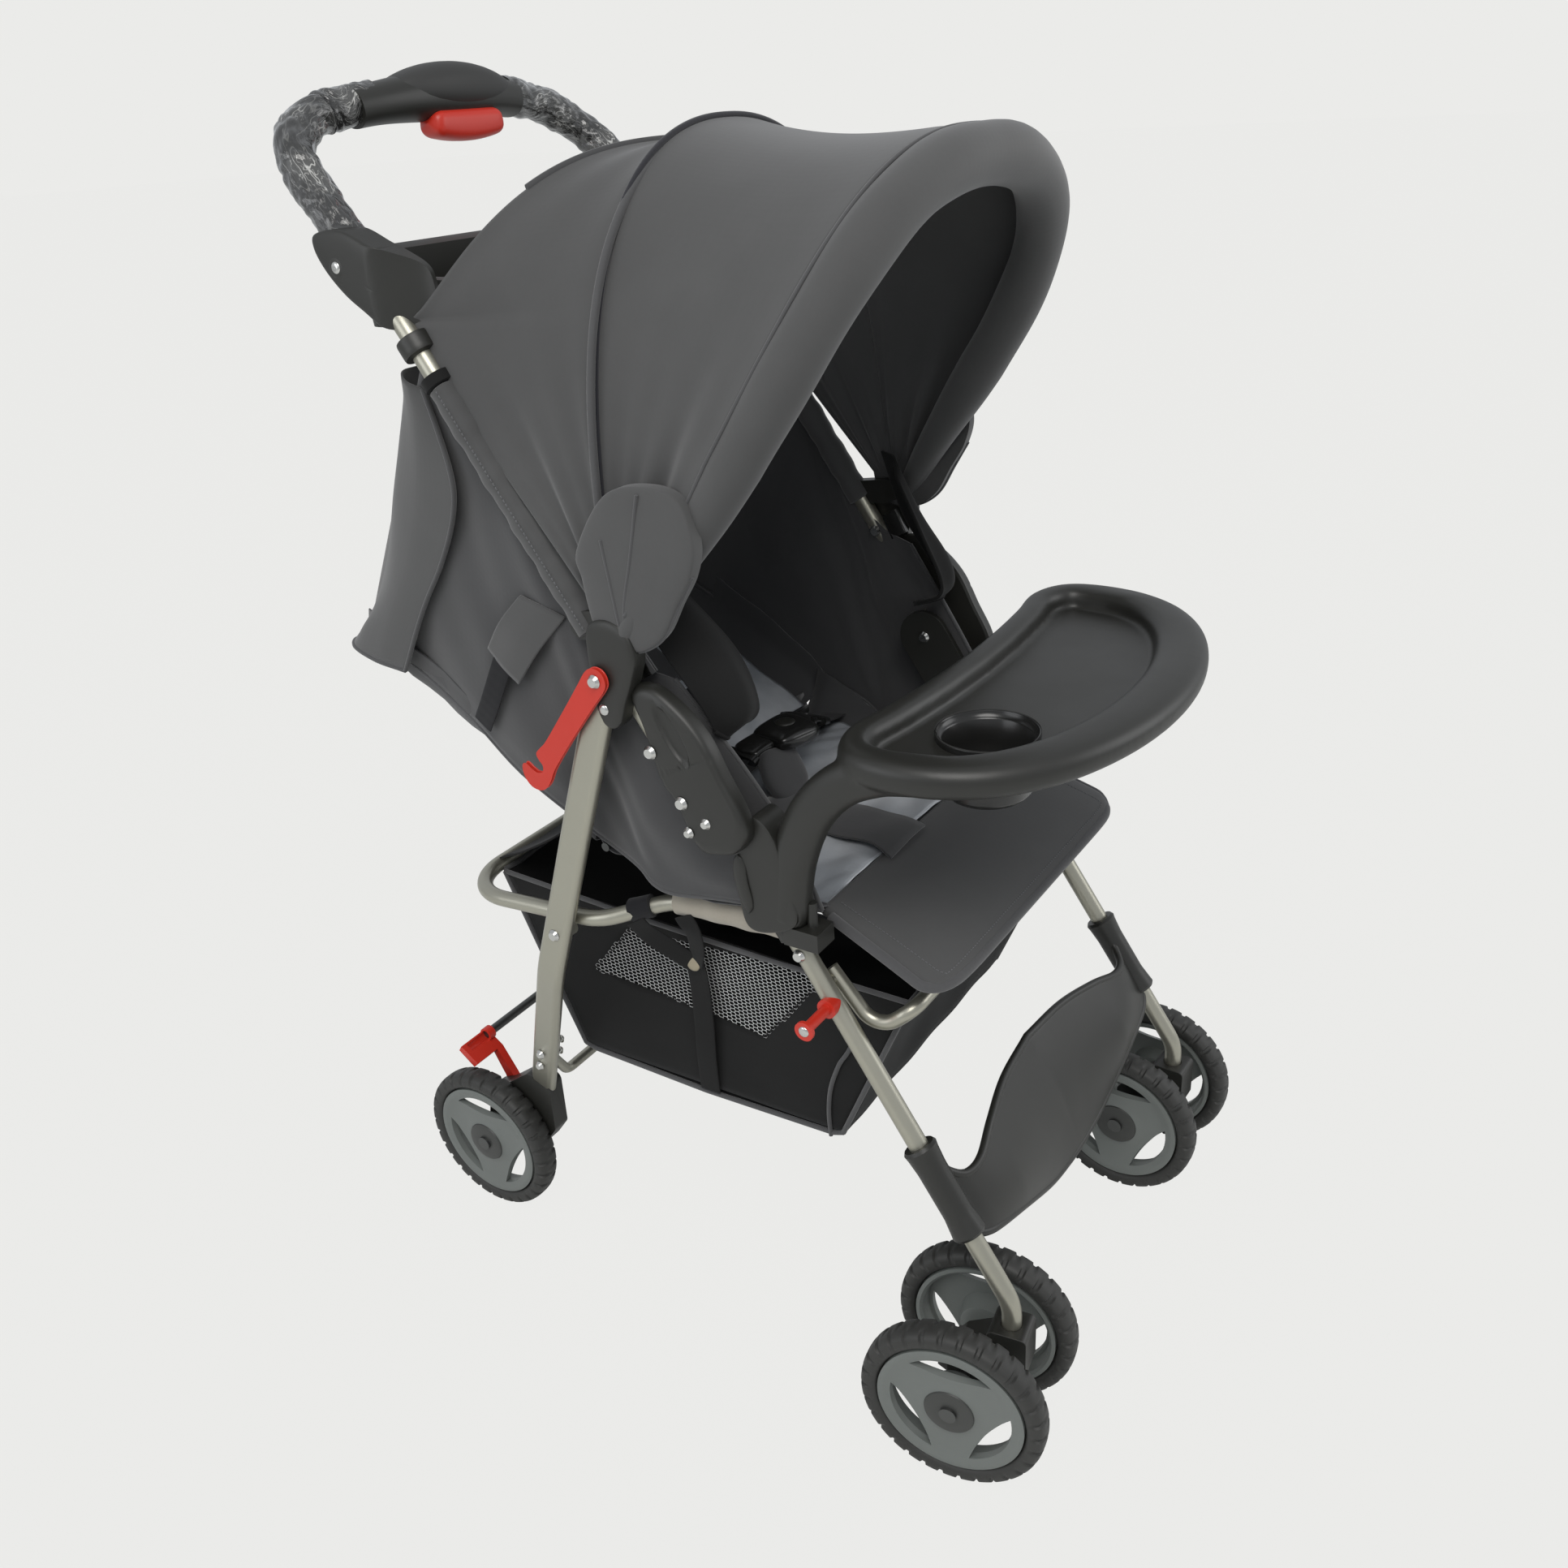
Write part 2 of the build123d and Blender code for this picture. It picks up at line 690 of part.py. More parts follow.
rim_points = arch_points(rim_half_w, rim_r, bend=0.45, count=6, start=rim_pad_start)
with BuildPart() as canopy_front_rim:
    with BuildLine(arch_plane(rim_lean)) as rim_path:
        Spline(*rim_points)
    with BuildSketch(Plane(origin=rim_path.line @ 0, z_dir=rim_path.line % 0)):
        Circle(rim_pad_d / 2)
    sweep()
    add(eye_arm(eye_front_x, rim_lean, rim_pad_start + 12))
    rim_foot = arch_plane(rim_lean).from_local_coords((0, rim_pad_start + 12, 0))
    for side in (-1, 1):
        with BuildSketch(Plane.YZ.offset(side * (rim_half_w - 4))):
            with Locations((rim_foot.Y, rim_foot.Z)):
                Circle(eye_r)
        extrude(amount=side * (hood_pin_end - rim_half_w + 4))
        with Locations(Location((side * hood_pin_end, hood_y, hood_z), (0, 90, 0))):
            Cylinder(pin_hole_d / 2, 4 * eye_t, mode=Mode.SUBTRACT)
export(canopy_front_rim.part, "canopy_front_rim")

clip_foot = up_handle(150)
clip_in_x = handle_x - 3.0
clip_reach = math.dist(clip_foot, hood_place)
clip_angle = math.degrees(math.atan2(clip_foot[1] - hood_z, clip_foot[0] - hood_y))
with BuildPart() as canopy_clips:
    add(
        slot_plate(
            clip_in_x,
            clip_x,
            ((clip_foot[0] + hood_y) / 2, (clip_foot[1] + hood_z) / 2),
            clip_reach,
            22,
            clip_angle,
        )
    )
    with BuildSketch(Plane(origin=(handle_x, *clip_foot), z_dir=(0, math.sin(lean), math.cos(lean)))):
        Circle(tube_r + sleeve_fit)
    extrude(amount=60, both=True, mode=Mode.SUBTRACT)
    with BuildSketch(Plane.YZ.offset(clip_x - hood_pin_deep - gap)):
        with Locations(hood_place):
            Circle(pin_hole_d / 2)
    extrude(amount=hood_pin_deep + 2 * gap, mode=Mode.SUBTRACT)
    mirror(about=Plane.YZ)
export(canopy_clips.part, "canopy_clips")

# ---------------------------------------------------------------- rear legs
rear_top = Vector(rear_leg_x, hub_y, hub_z)
rear_bend = Vector(rear_leg_x, rear_bend_y, rear_bend_z)
rear_foot = Vector(rear_foot_x, rear_foot_y, rear_foot_z)
rear_dir = (rear_bend - rear_top).normalized()
foot_dir = (rear_foot - rear_bend).normalized()
rear_start = rear_top - rear_dir * leg_past_hub
rear_angle = math.degrees(math.atan2(rear_dir.Z, rear_dir.Y))


def on_foot(z):
    """Place on the lower stretch of a left rear leg at a height."""
    return rear_bend + (rear_foot - rear_bend) * ((rear_bend_z - z) / (rear_bend_z - rear_foot_z))


brace_d = 10.0
brace_rivets = (212.0, 192.0)
bar_pin_place = (bar_pin_y, bar_pin_z)
with BuildPart() as rear_legs:
    with BuildLine() as rear_path:
        FilletPolyline(tuple(rear_start), tuple(rear_bend), tuple(rear_foot), radius=rear_bend_r)
    with BuildSketch(Plane(origin=rear_path.line @ 0, x_dir=(1, 0, 0), z_dir=rear_path.line % 0)):
        SlotOverall(oval_w, oval_t, rotation=90)
        SlotOverall(oval_w - 2 * tube_wall, oval_t - 2 * tube_wall, rotation=90, mode=Mode.SUBTRACT)
    sweep()
    for hole_y, hole_z in ((hub_y, hub_z), bar_pin_place):
        with Locations(Location((rear_leg_x, hole_y, hole_z), (0, 90, 0))):
            Cylinder(pin_hole_d / 2, 2 * oval_t, mode=Mode.SUBTRACT)
    for rivet_z in brace_rivets:
        with Locations(Location(tuple(on_foot(rivet_z)), (0, 90, 0))):
            Cylinder(pin_hole_d / 2, 3 * oval_t, mode=Mode.SUBTRACT)
    mirror(about=Plane.YZ)
export(rear_legs.part, "rear_legs")

cap_reach = 44.0
cap_wall = 2.0
cap_middle = (
    hub_y + rear_dir.Y * cap_reach / 2 - rear_dir.Y * 4,
    hub_z + rear_dir.Z * cap_reach / 2 - rear_dir.Z * 4,
)
cap_w = oval_w + 2 * (gap + cap_wall)
cap_slot = cap_reach + leg_past_hub - 9
with BuildPart() as leg_caps:
    cap_in_x = rear_leg_x - oval_t / 2 + gap
    add(slot_plate(cap_in_x, cap_x + cap_t, cap_middle, cap_slot - 14, cap_w, rear_angle))
    with BuildSketch(Plane(origin=rear_start - rear_dir * gap, x_dir=(1, 0, 0), z_dir=rear_dir)):
        Rectangle(oval_t + 2 * gap, oval_w + 2 * gap)
    extrude(amount=4 * cap_reach, mode=Mode.SUBTRACT)
    with Locations(Location((cap_x, hub_y, hub_z), (0, 90, 0))):
        Cylinder(pin_hole_d / 2, 30, mode=Mode.SUBTRACT)
    mirror(about=Plane.YZ)
export(leg_caps.part, "leg_caps")

# U brace between the feet, riveted inside both legs
def brace_beside(z):
    """Middle of the brace where it lies inside the left leg."""
    place = on_foot(z)
    return (place.X - oval_t / 2 - brace_d / 2 - 4 * gap, place.Y, z)


brace_cross = (134.0, 193.0, 152.0)
with BuildPart() as rear_brace:
    add(
        swept_tube(
            [
                brace_beside(224),
                brace_beside(186),
                brace_cross,
                (-brace_cross[0], *brace_cross[1:]),
                (-brace_beside(186)[0], *brace_beside(186)[1:]),
                (-brace_beside(224)[0], *brace_beside(224)[1:]),
            ],
            [30, 16, 16, 30],
            brace_d,
            0,
        )
    )
    for rivet_z in brace_rivets:
        for side in (-1, 1):
            place = on_foot(rivet_z)
            with Locations(Location((side * (place.X - oval_t), place.Y, place.Z), (0, 90, 0))):
                Cylinder(pin_hole_d / 2, 2 * brace_d, mode=Mode.SUBTRACT)
export(rear_brace.part, "rear_brace")

with BuildPart() as rear_rivets:
    bar_pin_out_x = rear_leg_x + oval_t / 2 + gap
    add(cross_pin(rear_leg_x - oval_t / 2, bar_pin_out_x, *bar_pin_place, pin_d, head0=False))
    for rivet_z in brace_rivets:
        place = on_foot(rivet_z)
        add(
            cross_pin(
                place.X - oval_t / 2 - brace_d - 14 * gap, place.X + oval_t / 2 + 7 * gap,
                place.Y, place.Z, pin_d, head_d=9,
            )
        )
    mirror(about=Plane.YZ)
export(rear_rivets.part, "rear_rivets")

# ---------------------------------------------------------------- rear wheel housings, axles, brake
foot_turn = Axis((0, 0, 0), rear_dir.cross(foot_dir))
foot_side = Vector(1, 0, 0).rotate(foot_turn, rear_dir.get_angle(foot_dir))  # across the oval at the foot
brake_y = 254.0
brake_z = 116.0
brake_place = (brake_y, brake_z)
brake_pin_reach = 12.0  # how far the pivot pin stands in the housing
housing_in_x = rear_foot_x - oval_t / 2 - 3.3
housing_out_x = rear_wheel_x - wheel_w / 2 - gap
housing_outline = [
    (rear_foot_y - 16, rear_foot_z + 16),
    (rear_foot_y + 12, rear_foot_z + 16),
    (brake_y - 6, brake_z + 20),
    (brake_y + 14, brake_z + 10),
    (rear_axle_y + 14, wheel_r + 16),
    (rear_axle_y + 13, wheel_r - 14),
    (rear_axle_y - 12, wheel_r - 16),
    (rear_foot_y, wheel_r + 6),
    (rear_foot_y - 16, wheel_r + 28),
]
with BuildPart() as rear_housings:
    with BuildSketch(Plane.YZ.offset(housing_in_x)) as housing_side:
        Polygon(*housing_outline, align=None)
        fillet(housing_side.vertices(), radius=8)
    extrude(amount=housing_out_x - housing_in_x)
    with BuildSketch(Plane(origin=rear_foot - foot_dir * 60, x_dir=foot_side, z_dir=foot_dir)):
        SlotOverall(oval_w + 2 * sleeve_fit, oval_t + 2 * sleeve_fit, rotation=90)
    extrude(amount=60 + gap, mode=Mode.SUBTRACT)
    with Locations(Location((housing_in_x, rear_axle_y, wheel_r), (0, 90, 0))):
        Cylinder(axle_d / 2 + axle_clearance, 100, mode=Mode.SUBTRACT)
    with Locations(Location((housing_in_x, *brake_place), (0, 90, 0))):
        Cylinder(pin_hole_d / 2, 2 * brake_pin_reach + gap, mode=Mode.SUBTRACT)
    mirror(about=Plane.YZ)
export(rear_housings.part, "rear_housings")

axle_head_t = 3.0
axle_head_r = 7.0
with BuildPart() as rear_axles:
    with BuildSketch(Plane.YZ.offset(housing_in_x - gap)):
        with Locations((rear_axle_y, wheel_r)):
            Circle(axle_d / 2)
    extrude(amount=rear_wheel_x + wheel_w / 2 + gap - housing_in_x + gap)
    for head_x, way in ((housing_in_x - gap, -1), (rear_wheel_x + wheel_w / 2 + gap, 1)):
        with BuildSketch(Plane.YZ.offset(head_x)):
            with Locations((rear_axle_y, wheel_r)):
                Circle(axle_head_r)
        extrude(amount=way * axle_head_t)
    mirror(about=Plane.YZ)
export(rear_axles.part, "rear_axles")

brake_bar_d = 9.0
brake_bar_place = (284.0, 172.0)
pedal_in_x = 142.0
pedal_out_x = 178.0
pedal_t = 6.0
pedal_eye_r = 9.0
pedal_low = (276.0, 154.0)  # where the blade begins, above the tyre
pedal_end = (294.0, 168.0)
ear_x = housing_in_x - gap


def behind(place, back, up):
    """A place in the side view moved back and up."""
    return (place[0] - back, place[1] + up)


pedal_back = [pedal_low, pedal_end, behind(pedal_end, 4, pedal_t), behind(pedal_low, 6, pedal_t)]
with BuildPart() as brake_pedals:
    with BuildSketch(Plane.YZ.offset(pedal_in_x)):
        Polygon(*pedal_back, align=None)
    extrude(amount=pedal_out_x - pedal_in_x)
    with BuildSketch(Plane.YZ.offset(pedal_in_x)):
        Polygon(
            (brake_y - 7, brake_z + 4),
            (brake_y + 8, brake_z - 3),
            (brake_y + 10, brake_z + 14),
            *pedal_back,
            (brake_y, brake_z + 18),
            align=None,
        )
        with Locations(brake_place):
            Circle(pedal_eye_r)
        with Locations(brake_bar_place):
            Circle(brake_bar_d / 2 + 2.5)
    extrude(amount=ear_x - pedal_in_x)
    with Locations(Location((pedal_in_x, *brake_bar_place), (0, 90, 0))):
        Cylinder(brake_bar_d / 2 + sleeve_fit, 60, mode=Mode.SUBTRACT)
    with Locations(Location((pedal_in_x, *brake_place), (0, 90, 0))):
        Cylinder(pin_hole_d / 2, 60, mode=Mode.SUBTRACT)
    mirror(about=Plane.YZ)
export(brake_pedals.part, "brake_pedals")

with BuildPart() as brake_bar:
    with BuildSketch(Plane.YZ.offset(-pedal_in_x - 6)):
        with Locations(brake_bar_place):
            Circle(brake_bar_d / 2)
    extrude(amount=2 * (pedal_in_x + 6))
export(brake_bar.part, "brake_bar")

with BuildPart() as brake_pins:
    brake_pin_end = housing_in_x + brake_pin_reach
    add(cross_pin(pedal_in_x - gap, brake_pin_end, *brake_place, pin_d, head1=False, head_d=9))
    mirror(about=Plane.YZ)
export(brake_pins.part, "brake_pins")

# ---------------------------------------------------------------- latch hook
hook_x = cap_x + cap_t + gap
hook_reach = 7.0
hook_outline = [(0, 8.5), (0, -8.5), (hook_len + 14, -9), (hook_len + 14, 4), (hook_len - 14, 7)]
with BuildPart() as latch_hook:
    hook_plane = Plane(
        origin=(hook_x, hub_y, hub_z),
        x_dir=(0, math.cos(math.radians(hook_rest)), math.sin(math.radians(hook_rest))),
        z_dir=(1, 0, 0),
    )
    with BuildSketch(hook_plane):
        Circle(10)
        Polygon(*hook_outline, align=None)
        with Locations((hook_len + 9, -3)):
            Circle(9)
        with Locations((hook_len, 3)):
            Circle(peg_r + 1, mode=Mode.SUBTRACT)
        with Locations((hook_len, 10)):
            Rectangle(2 * peg_r, 14, mode=Mode.SUBTRACT)
        Circle(pin_hole_d / 2, mode=Mode.SUBTRACT)
    extrude(amount=hook_t)
export(latch_hook.part.mirror(Plane.YZ), "latch_hook")

# ---------------------------------------------------------------- castors
castor_half = 15.0
stem_d = 8.0
stem_low = 90.0
stem_plug_r = tube_r - tube_wall - 0.1
housing_top = 128.0
with BuildPart() as castor_stems:
    with BuildSketch(Plane.XY.offset(stem_low)):
        with Locations((castor_x, castor_y)):
            Circle(stem_d / 2)
    extrude(amount=leg_foot_z - stem_low)
    with BuildSketch(Plane.XY.offset(leg_foot_z)):
        with Locations((castor_x, castor_y)):
            Circle(stem_plug_r)
    extrude(amount=12)
    mirror(about=Plane.YZ)
export(castor_stems.part, "castor_stems")

castor_outline = [  # from the swivel axis back to the axle, and height
    (-16, housing_top),
    (15, housing_top),
    (19, wheel_r + 36),
    (castor_trail + 7, wheel_r + 24),
    (castor_trail + 17, wheel_r + 10),
    (castor_trail + 15, wheel_r - 12),
    (castor_trail, wheel_r - 17),
    (castor_trail - 15, wheel_r - 14),
    (6, wheel_r + 6),
    (-16, wheel_r + 10),
]
with BuildPart() as castor_block:
    with BuildSketch(Plane.YZ.offset(-castor_half)) as castor_side:
        Polygon(*castor_outline, align=None)
        fillet(castor_side.vertices(), radius=5)
    extrude(amount=2 * castor_half)
    with BuildSketch(Plane.XY.offset(leg_foot_z - gap)):
        Circle(tube_r + gap)
    extrude(amount=60, mode=Mode.SUBTRACT)
    with BuildSketch(Plane.XY.offset(stem_low - gap)):
        Circle(stem_d / 2 + pin_clearance)
    extrude(amount=40, mode=Mode.SUBTRACT)
    with Locations(Location((0, castor_trail, wheel_r), (0, 90, 0))):
        Cylinder(axle_d / 2 + axle_clearance, 60, mode=Mode.SUBTRACT)

front_axle_half = castor_wheel_x + wheel_w / 2 + gap
with BuildPart() as castor_axle:
    with BuildSketch(Plane.YZ.offset(-front_axle_half)):
        with Locations((castor_trail, wheel_r)):
            Circle(axle_d / 2)
    extrude(amount=2 * front_axle_half)
    for side in (-1, 1):
        with BuildSketch(Plane.YZ.offset(side * front_axle_half)):
            with Locations((castor_trail, wheel_r)):
                Circle(axle_head_r)
        extrude(amount=side * axle_head_t)

# ---------------------------------------------------------------- wheels
rim_w = 20.0
rim_wall = 7.0
web_w = 9.0
hub_r = 19.0
hub_inner_r = 11.0
scoop_r = 9.0
scoop_at = 37.0
tread_h = (wheel_d - rim_d) / 2
with BuildPart() as tyre:
    with BuildSketch(Plane.XY):
        with Locations((0, wheel_r - tread_h / 2)):
            RectangleRounded(wheel_w, tread_h, 6)
    revolve(axis=Axis.X)


def rim(inner_reach):
    """A rim with three through holes, its hub running in to a distance from the wheel's middle."""
    with BuildPart() as made:
        with BuildSketch(Plane.XY):
            with Locations((0, rim_d / 2 - sleeve_fit - rim_wall / 2)):
                Rectangle(rim_w, rim_wall)
            with Locations((0, (rim_d / 2 + hub_r - rim_wall) / 2)):
                Rectangle(web_w, rim_d / 2 - hub_r + 2 - sleeve_fit)
            with Locations((0, (hub_r + axle_d / 2 + axle_clearance) / 2)):
                Rectangle(wheel_w, hub_r - axle_d / 2 - axle_clearance)
            with Locations((-inner_reach / 2, (hub_inner_r + axle_d / 2 + axle_clearance) / 2)):
                Rectangle(inner_reach, hub_inner_r - axle_d / 2 - axle_clearance)
        revolve(axis=Axis.X)
        with BuildSketch(Plane.YZ.offset(-rim_w)):
            with PolarLocations(scoop_at, 3, start_angle=90):
                Circle(scoop_r)
        extrude(amount=2 * rim_w, mode=Mode.SUBTRACT)
    return made.part


front_rim = rim(castor_wheel_x - castor_half - gap)
rear_rim = rim(rear_wheel_x - housing_out_x - gap)
for side_name, side in SIDES.items():
    turn = castor_turn_right if side < 0 else castor_turn_left
    castor_place = Location((side * castor_x, castor_y, 0), (0, 0, turn))
    export(castor_block.part.moved(castor_place), f"castor_housing_{side_name}")
    export(castor_axle.part.moved(castor_place), f"castor_axle_{side_name}")
    for wheel_name, way in (("outer", side), ("inner", -side)):
        facing = 0 if way > 0 else 180
        wheel_place = castor_place * Location((way * castor_wheel_x, castor_trail, wheel_r), (0, 0, facing))
        export(tyre.part.moved(wheel_place), f"tyre_front_{side_name}_{wheel_name}")
        export(front_rim.moved(wheel_place), f"rim_front_{side_name}_{wheel_name}")
    rear_place = Location((side * rear_wheel_x, rear_axle_y, wheel_r), (0, 0, 0 if side > 0 else 180))
    export(tyre.part.moved(rear_place), f"tyre_rear_{side_name}")
    export(rear_rim.moved(rear_place), f"rim_rear_{side_name}")

# ---------------------------------------------------------------- seat bar
bar_half = [
    (bar_front_x, bar_pivot_y, bar_pivot_z),
    (bar_front_x, 5, bar_pivot_z - 2.4),
    (bar_rear_x, 62, bar_pin_z + 14),
    (bar_rear_x, bar_rear_y, bar_pin_z),
]
lug_r = 9.0
with BuildPart() as seat_bar:
    add(
        swept_tube(
            bar_half + [(-x, y, z) for x, y, z in reversed(bar_half)],
            [60, 60, bar_corner_r, bar_corner_r, 60, 60],
            bar_d,
            0,
        )
    )
    for side in (-1, 1):
        with Locations((side * bar_front_x, *bar_place)):
            Sphere(bar_d / 2)
        with Locations(Location((side * bar_front_x, *bar_place), (0, 90, 0))):
            Cylinder(pin_hole_d / 2, 2 * bar_d, mode=Mode.SUBTRACT)
        with BuildSketch(Plane.YZ.offset(side * bar_rear_x)):
            with Locations(bar_pin_place):
                Circle(lug_r)
        extrude(amount=side * (rear_leg_x - oval_t / 2 - gap - bar_rear_x))
export(seat_bar.part, "seat_bar")

# ---------------------------------------------------------------- seat
socket_low = 430.0
socket_wall = 4.0
socket_out_r = tube_r + sleeve_fit + socket_wall
socket_in_x = on_leg(socket_low)[0] - socket_out_r
seat_under = bar_pivot_z + bar_d / 2 + gap
seat_top = seat_under + seat_t
seat_w = 2 * (socket_in_x - seat_side_gap)
lug_in_x = back_w / 2 + 2.0
lug_out_x = seat_w / 2
seat_rear_edge_y = seat_rear_y - 18
lug_root_y = 30.0
with BuildPart() as seat_base:
    with BuildSketch(Plane.XY.offset(seat_under)):
        with Locations((0, (seat_front_y + seat_rear_edge_y) / 2)):
            RectangleRounded(seat_w, seat_rear_edge_y - seat_front_y, 6)
    extrude(amount=seat_t)
    for side in (-1, 1):
        with BuildSketch(Plane.YZ.offset(side * lug_in_x)):
            with Locations((back_hinge_y, back_hinge_z)):
                Circle(lug_r)
            Polygon(
                (lug_root_y, seat_under + 1),
                (back_hinge_y, back_hinge_z - lug_r),
                (back_hinge_y, back_hinge_z + lug_r),
                (lug_root_y, seat_top - 1),
                align=None,
            )
            with Locations((back_hinge_y, back_hinge_z)):
                Circle(back_rod_d / 2 + pin_clearance, mode=Mode.SUBTRACT)
        extrude(amount=side * (lug_out_x - lug_in_x))
export(seat_base.part, "seat_base")

flap_t = 12.0
flap_plane = Plane(
    origin=(0, seat_front_y - gap, seat_top - 2),
    x_dir=(1, 0, 0),
    z_dir=(0, -math.sin(math.radians(flap_drop)), math.cos(math.radians(flap_drop))),
)
with BuildPart() as seat_flap:
    with BuildSketch(flap_plane):
        with Locations((0, -flap_len / 2)):
            RectangleRounded(flap_w, flap_len, 16)
    extrude(amount=-flap_t)
    split(bisect_by=Plane.XZ.offset(-seat_front_y + gap), keep=Keep.TOP)
export(seat_flap.part, "seat_flap")

with BuildPart() as back_hinge_rod:
    with BuildSketch(Plane.YZ.offset(-lug_out_x)):
        with Locations((back_hinge_y, back_hinge_z)):
            Circle(back_rod_d / 2)
    extrude(amount=2 * lug_out_x)
export(back_hinge_rod.part, "back_hinge_rod")

rise = math.radians(back_rise)
back_plane = Plane(
    origin=(0, back_hinge_y, back_hinge_z),
    x_dir=(1, 0, 0),
    z_dir=(0, -math.sin(rise), math.cos(rise)),
)
back_start = back_rod_d / 2 + gap
with BuildPart() as backrest:
    with BuildSketch(back_plane.offset(-back_t / 2)):
        with Locations((0, (back_start + back_len) / 2)):
            RectangleRounded(back_w, back_len - back_start, 14)
    extrude(amount=back_t)
    back_face = backrest.faces().sort_by(Axis(back_plane.origin, back_plane.z_dir))[-1]
    fillet(back_face.edges(), radius=3)
export(backrest.part, "backrest")

# harness: flat webbing and a buckle
web_wide = 25.0
web_thick = 2.0
with BuildPart() as shoulder_straps:
    for strap_x in (-48, 48):
        with BuildSketch(back_plane.offset(back_t / 2 + gap)):
            with Locations((strap_x, 130)):
                Rectangle(web_wide, 190)
        extrude(amount=web_thick)
export(shoulder_straps.part, "shoulder_straps")

buckle_y = -8.0
buckle_h = 12.0
with BuildPart() as buckle:
    with BuildSketch(Plane.XY.offset(seat_top + web_thick + 2 * gap)):
        with Locations((0, buckle_y)):
            RectangleRounded(48, 40, 8)
    extrude(amount=buckle_h)
    fillet(buckle.edges().group_by(Axis.Z)[-1], radius=3)
export(buckle.part, "buckle")

with BuildPart() as waist_straps:
    with BuildSketch(Plane.XY.offset(seat_top + gap)):
        with Locations((0, buckle_y)):
            Rectangle(seat_w - 20, web_wide)
        with Locations((0, buckle_y - 40)):
            Rectangle(web_wide, 80)
    extrude(amount=web_thick)
export(waist_straps.part, "waist_straps")

# ---------------------------------------------------------------- fabric between the tubes
basket_half_w = 150.0
basket_wall = 2.0
basket_outline = [(-205.5, 372), (-137, 222), (145, 216), (219.3, 380.5)]
with BuildPart() as basket:
    with BuildSketch(Plane.YZ.offset(-basket_half_w)):
        Polygon(*basket_outline, align=None)
    extrude(amount=2 * basket_half_w)
    open_top = basket.faces().sort_by(Axis.Z)[-1]
    offset(amount=-basket_wall, openings=open_top)
export(basket.part, "basket")

panel_t = 1.6
panel_x = handle_x - tube_r - gap - rivet_head_h - gap - panel_t
curtain_line = [(190, 838), (246, 770), (300, 694), (352, 611)]
curtain_foot = curtain_line[-1]
panel_outline = [
    (fold_y + 14, fold_z - 40),
    (fold_y + 34, fold_z + 25),
    (fold_y + 48, fold_z + 72),
    (bend_y - 35, bend_z - 36),
    *curtain_line,
    (curtain_foot[0] - 6, curtain_foot[1] - 15),
    (back_hinge_y + 32, back_hinge_z + 20),
    (back_hinge_y - 38, back_hinge_z + 6),
    (fold_y - 10, back_hinge_z + 9),
]
with BuildPart() as side_panels:
    with BuildSketch(Plane.YZ.offset(panel_x)):
        Polygon(*panel_outline, align=None)
    extrude(amount=panel_t)
    mirror(about=Plane.YZ)
export(side_panels.part, "side_panels")

curtain_out_x = panel_x - gap
with BuildPart() as rear_curtain:
    with BuildSketch(Plane.YZ.offset(-curtain_out_x)):
        with BuildLine():
            outer_line = Spline(*curtain_line)
            inner_line = Spline(*[(y - 1.6, z - 1.2) for y, z in reversed(curtain_line)])
            Line(outer_line @ 1, inner_line @ 0)
            Line(inner_line @ 1, outer_line @ 0)
        make_face()
    extrude(amount=2 * curtain_out_x)
export(rear_curtain.part, "rear_curtain")

# ---------------------------------------------------------------- child tray and its sockets
socket_high = 462.0
arm_foot_z = 446.0
arm_y = -142.0
tongue_d = 8.0
tongue_h = 22.0
with BuildPart() as tray_sockets:
    socket_x, socket_y = on_leg(socket_low)
    with BuildSketch(Plane(origin=(socket_x, socket_y, socket_low), z_dir=leg_dir)):
        Circle(socket_out_r)
    extrude(amount=socket_high - socket_low)
    with BuildSketch(Plane.XY.offset(socket_low)):
        with Locations((arm_x, (arm_y + socket_y) / 2 - arm_t / 4)):
            Rectangle(arm_w, socket_y - arm_y + arm_t / 2)
    extrude(amount=arm_foot_z - gap - socket_low)
    with BuildSketch(Plane(origin=(socket_x, socket_y, socket_low), z_dir=leg_dir)):
        Circle(tube_r + sleeve_fit)
    extrude(amount=60, both=True, mode=Mode.SUBTRACT)
    with BuildSketch(Plane.XY.offset(arm_foot_z - 2)):
        with Locations((arm_x, arm_y)):
            Circle(tongue_d / 2)
    extrude(amount=tongue_h)
    mirror(about=Plane.YZ)
export(tray_sockets.part, "tray_sockets")

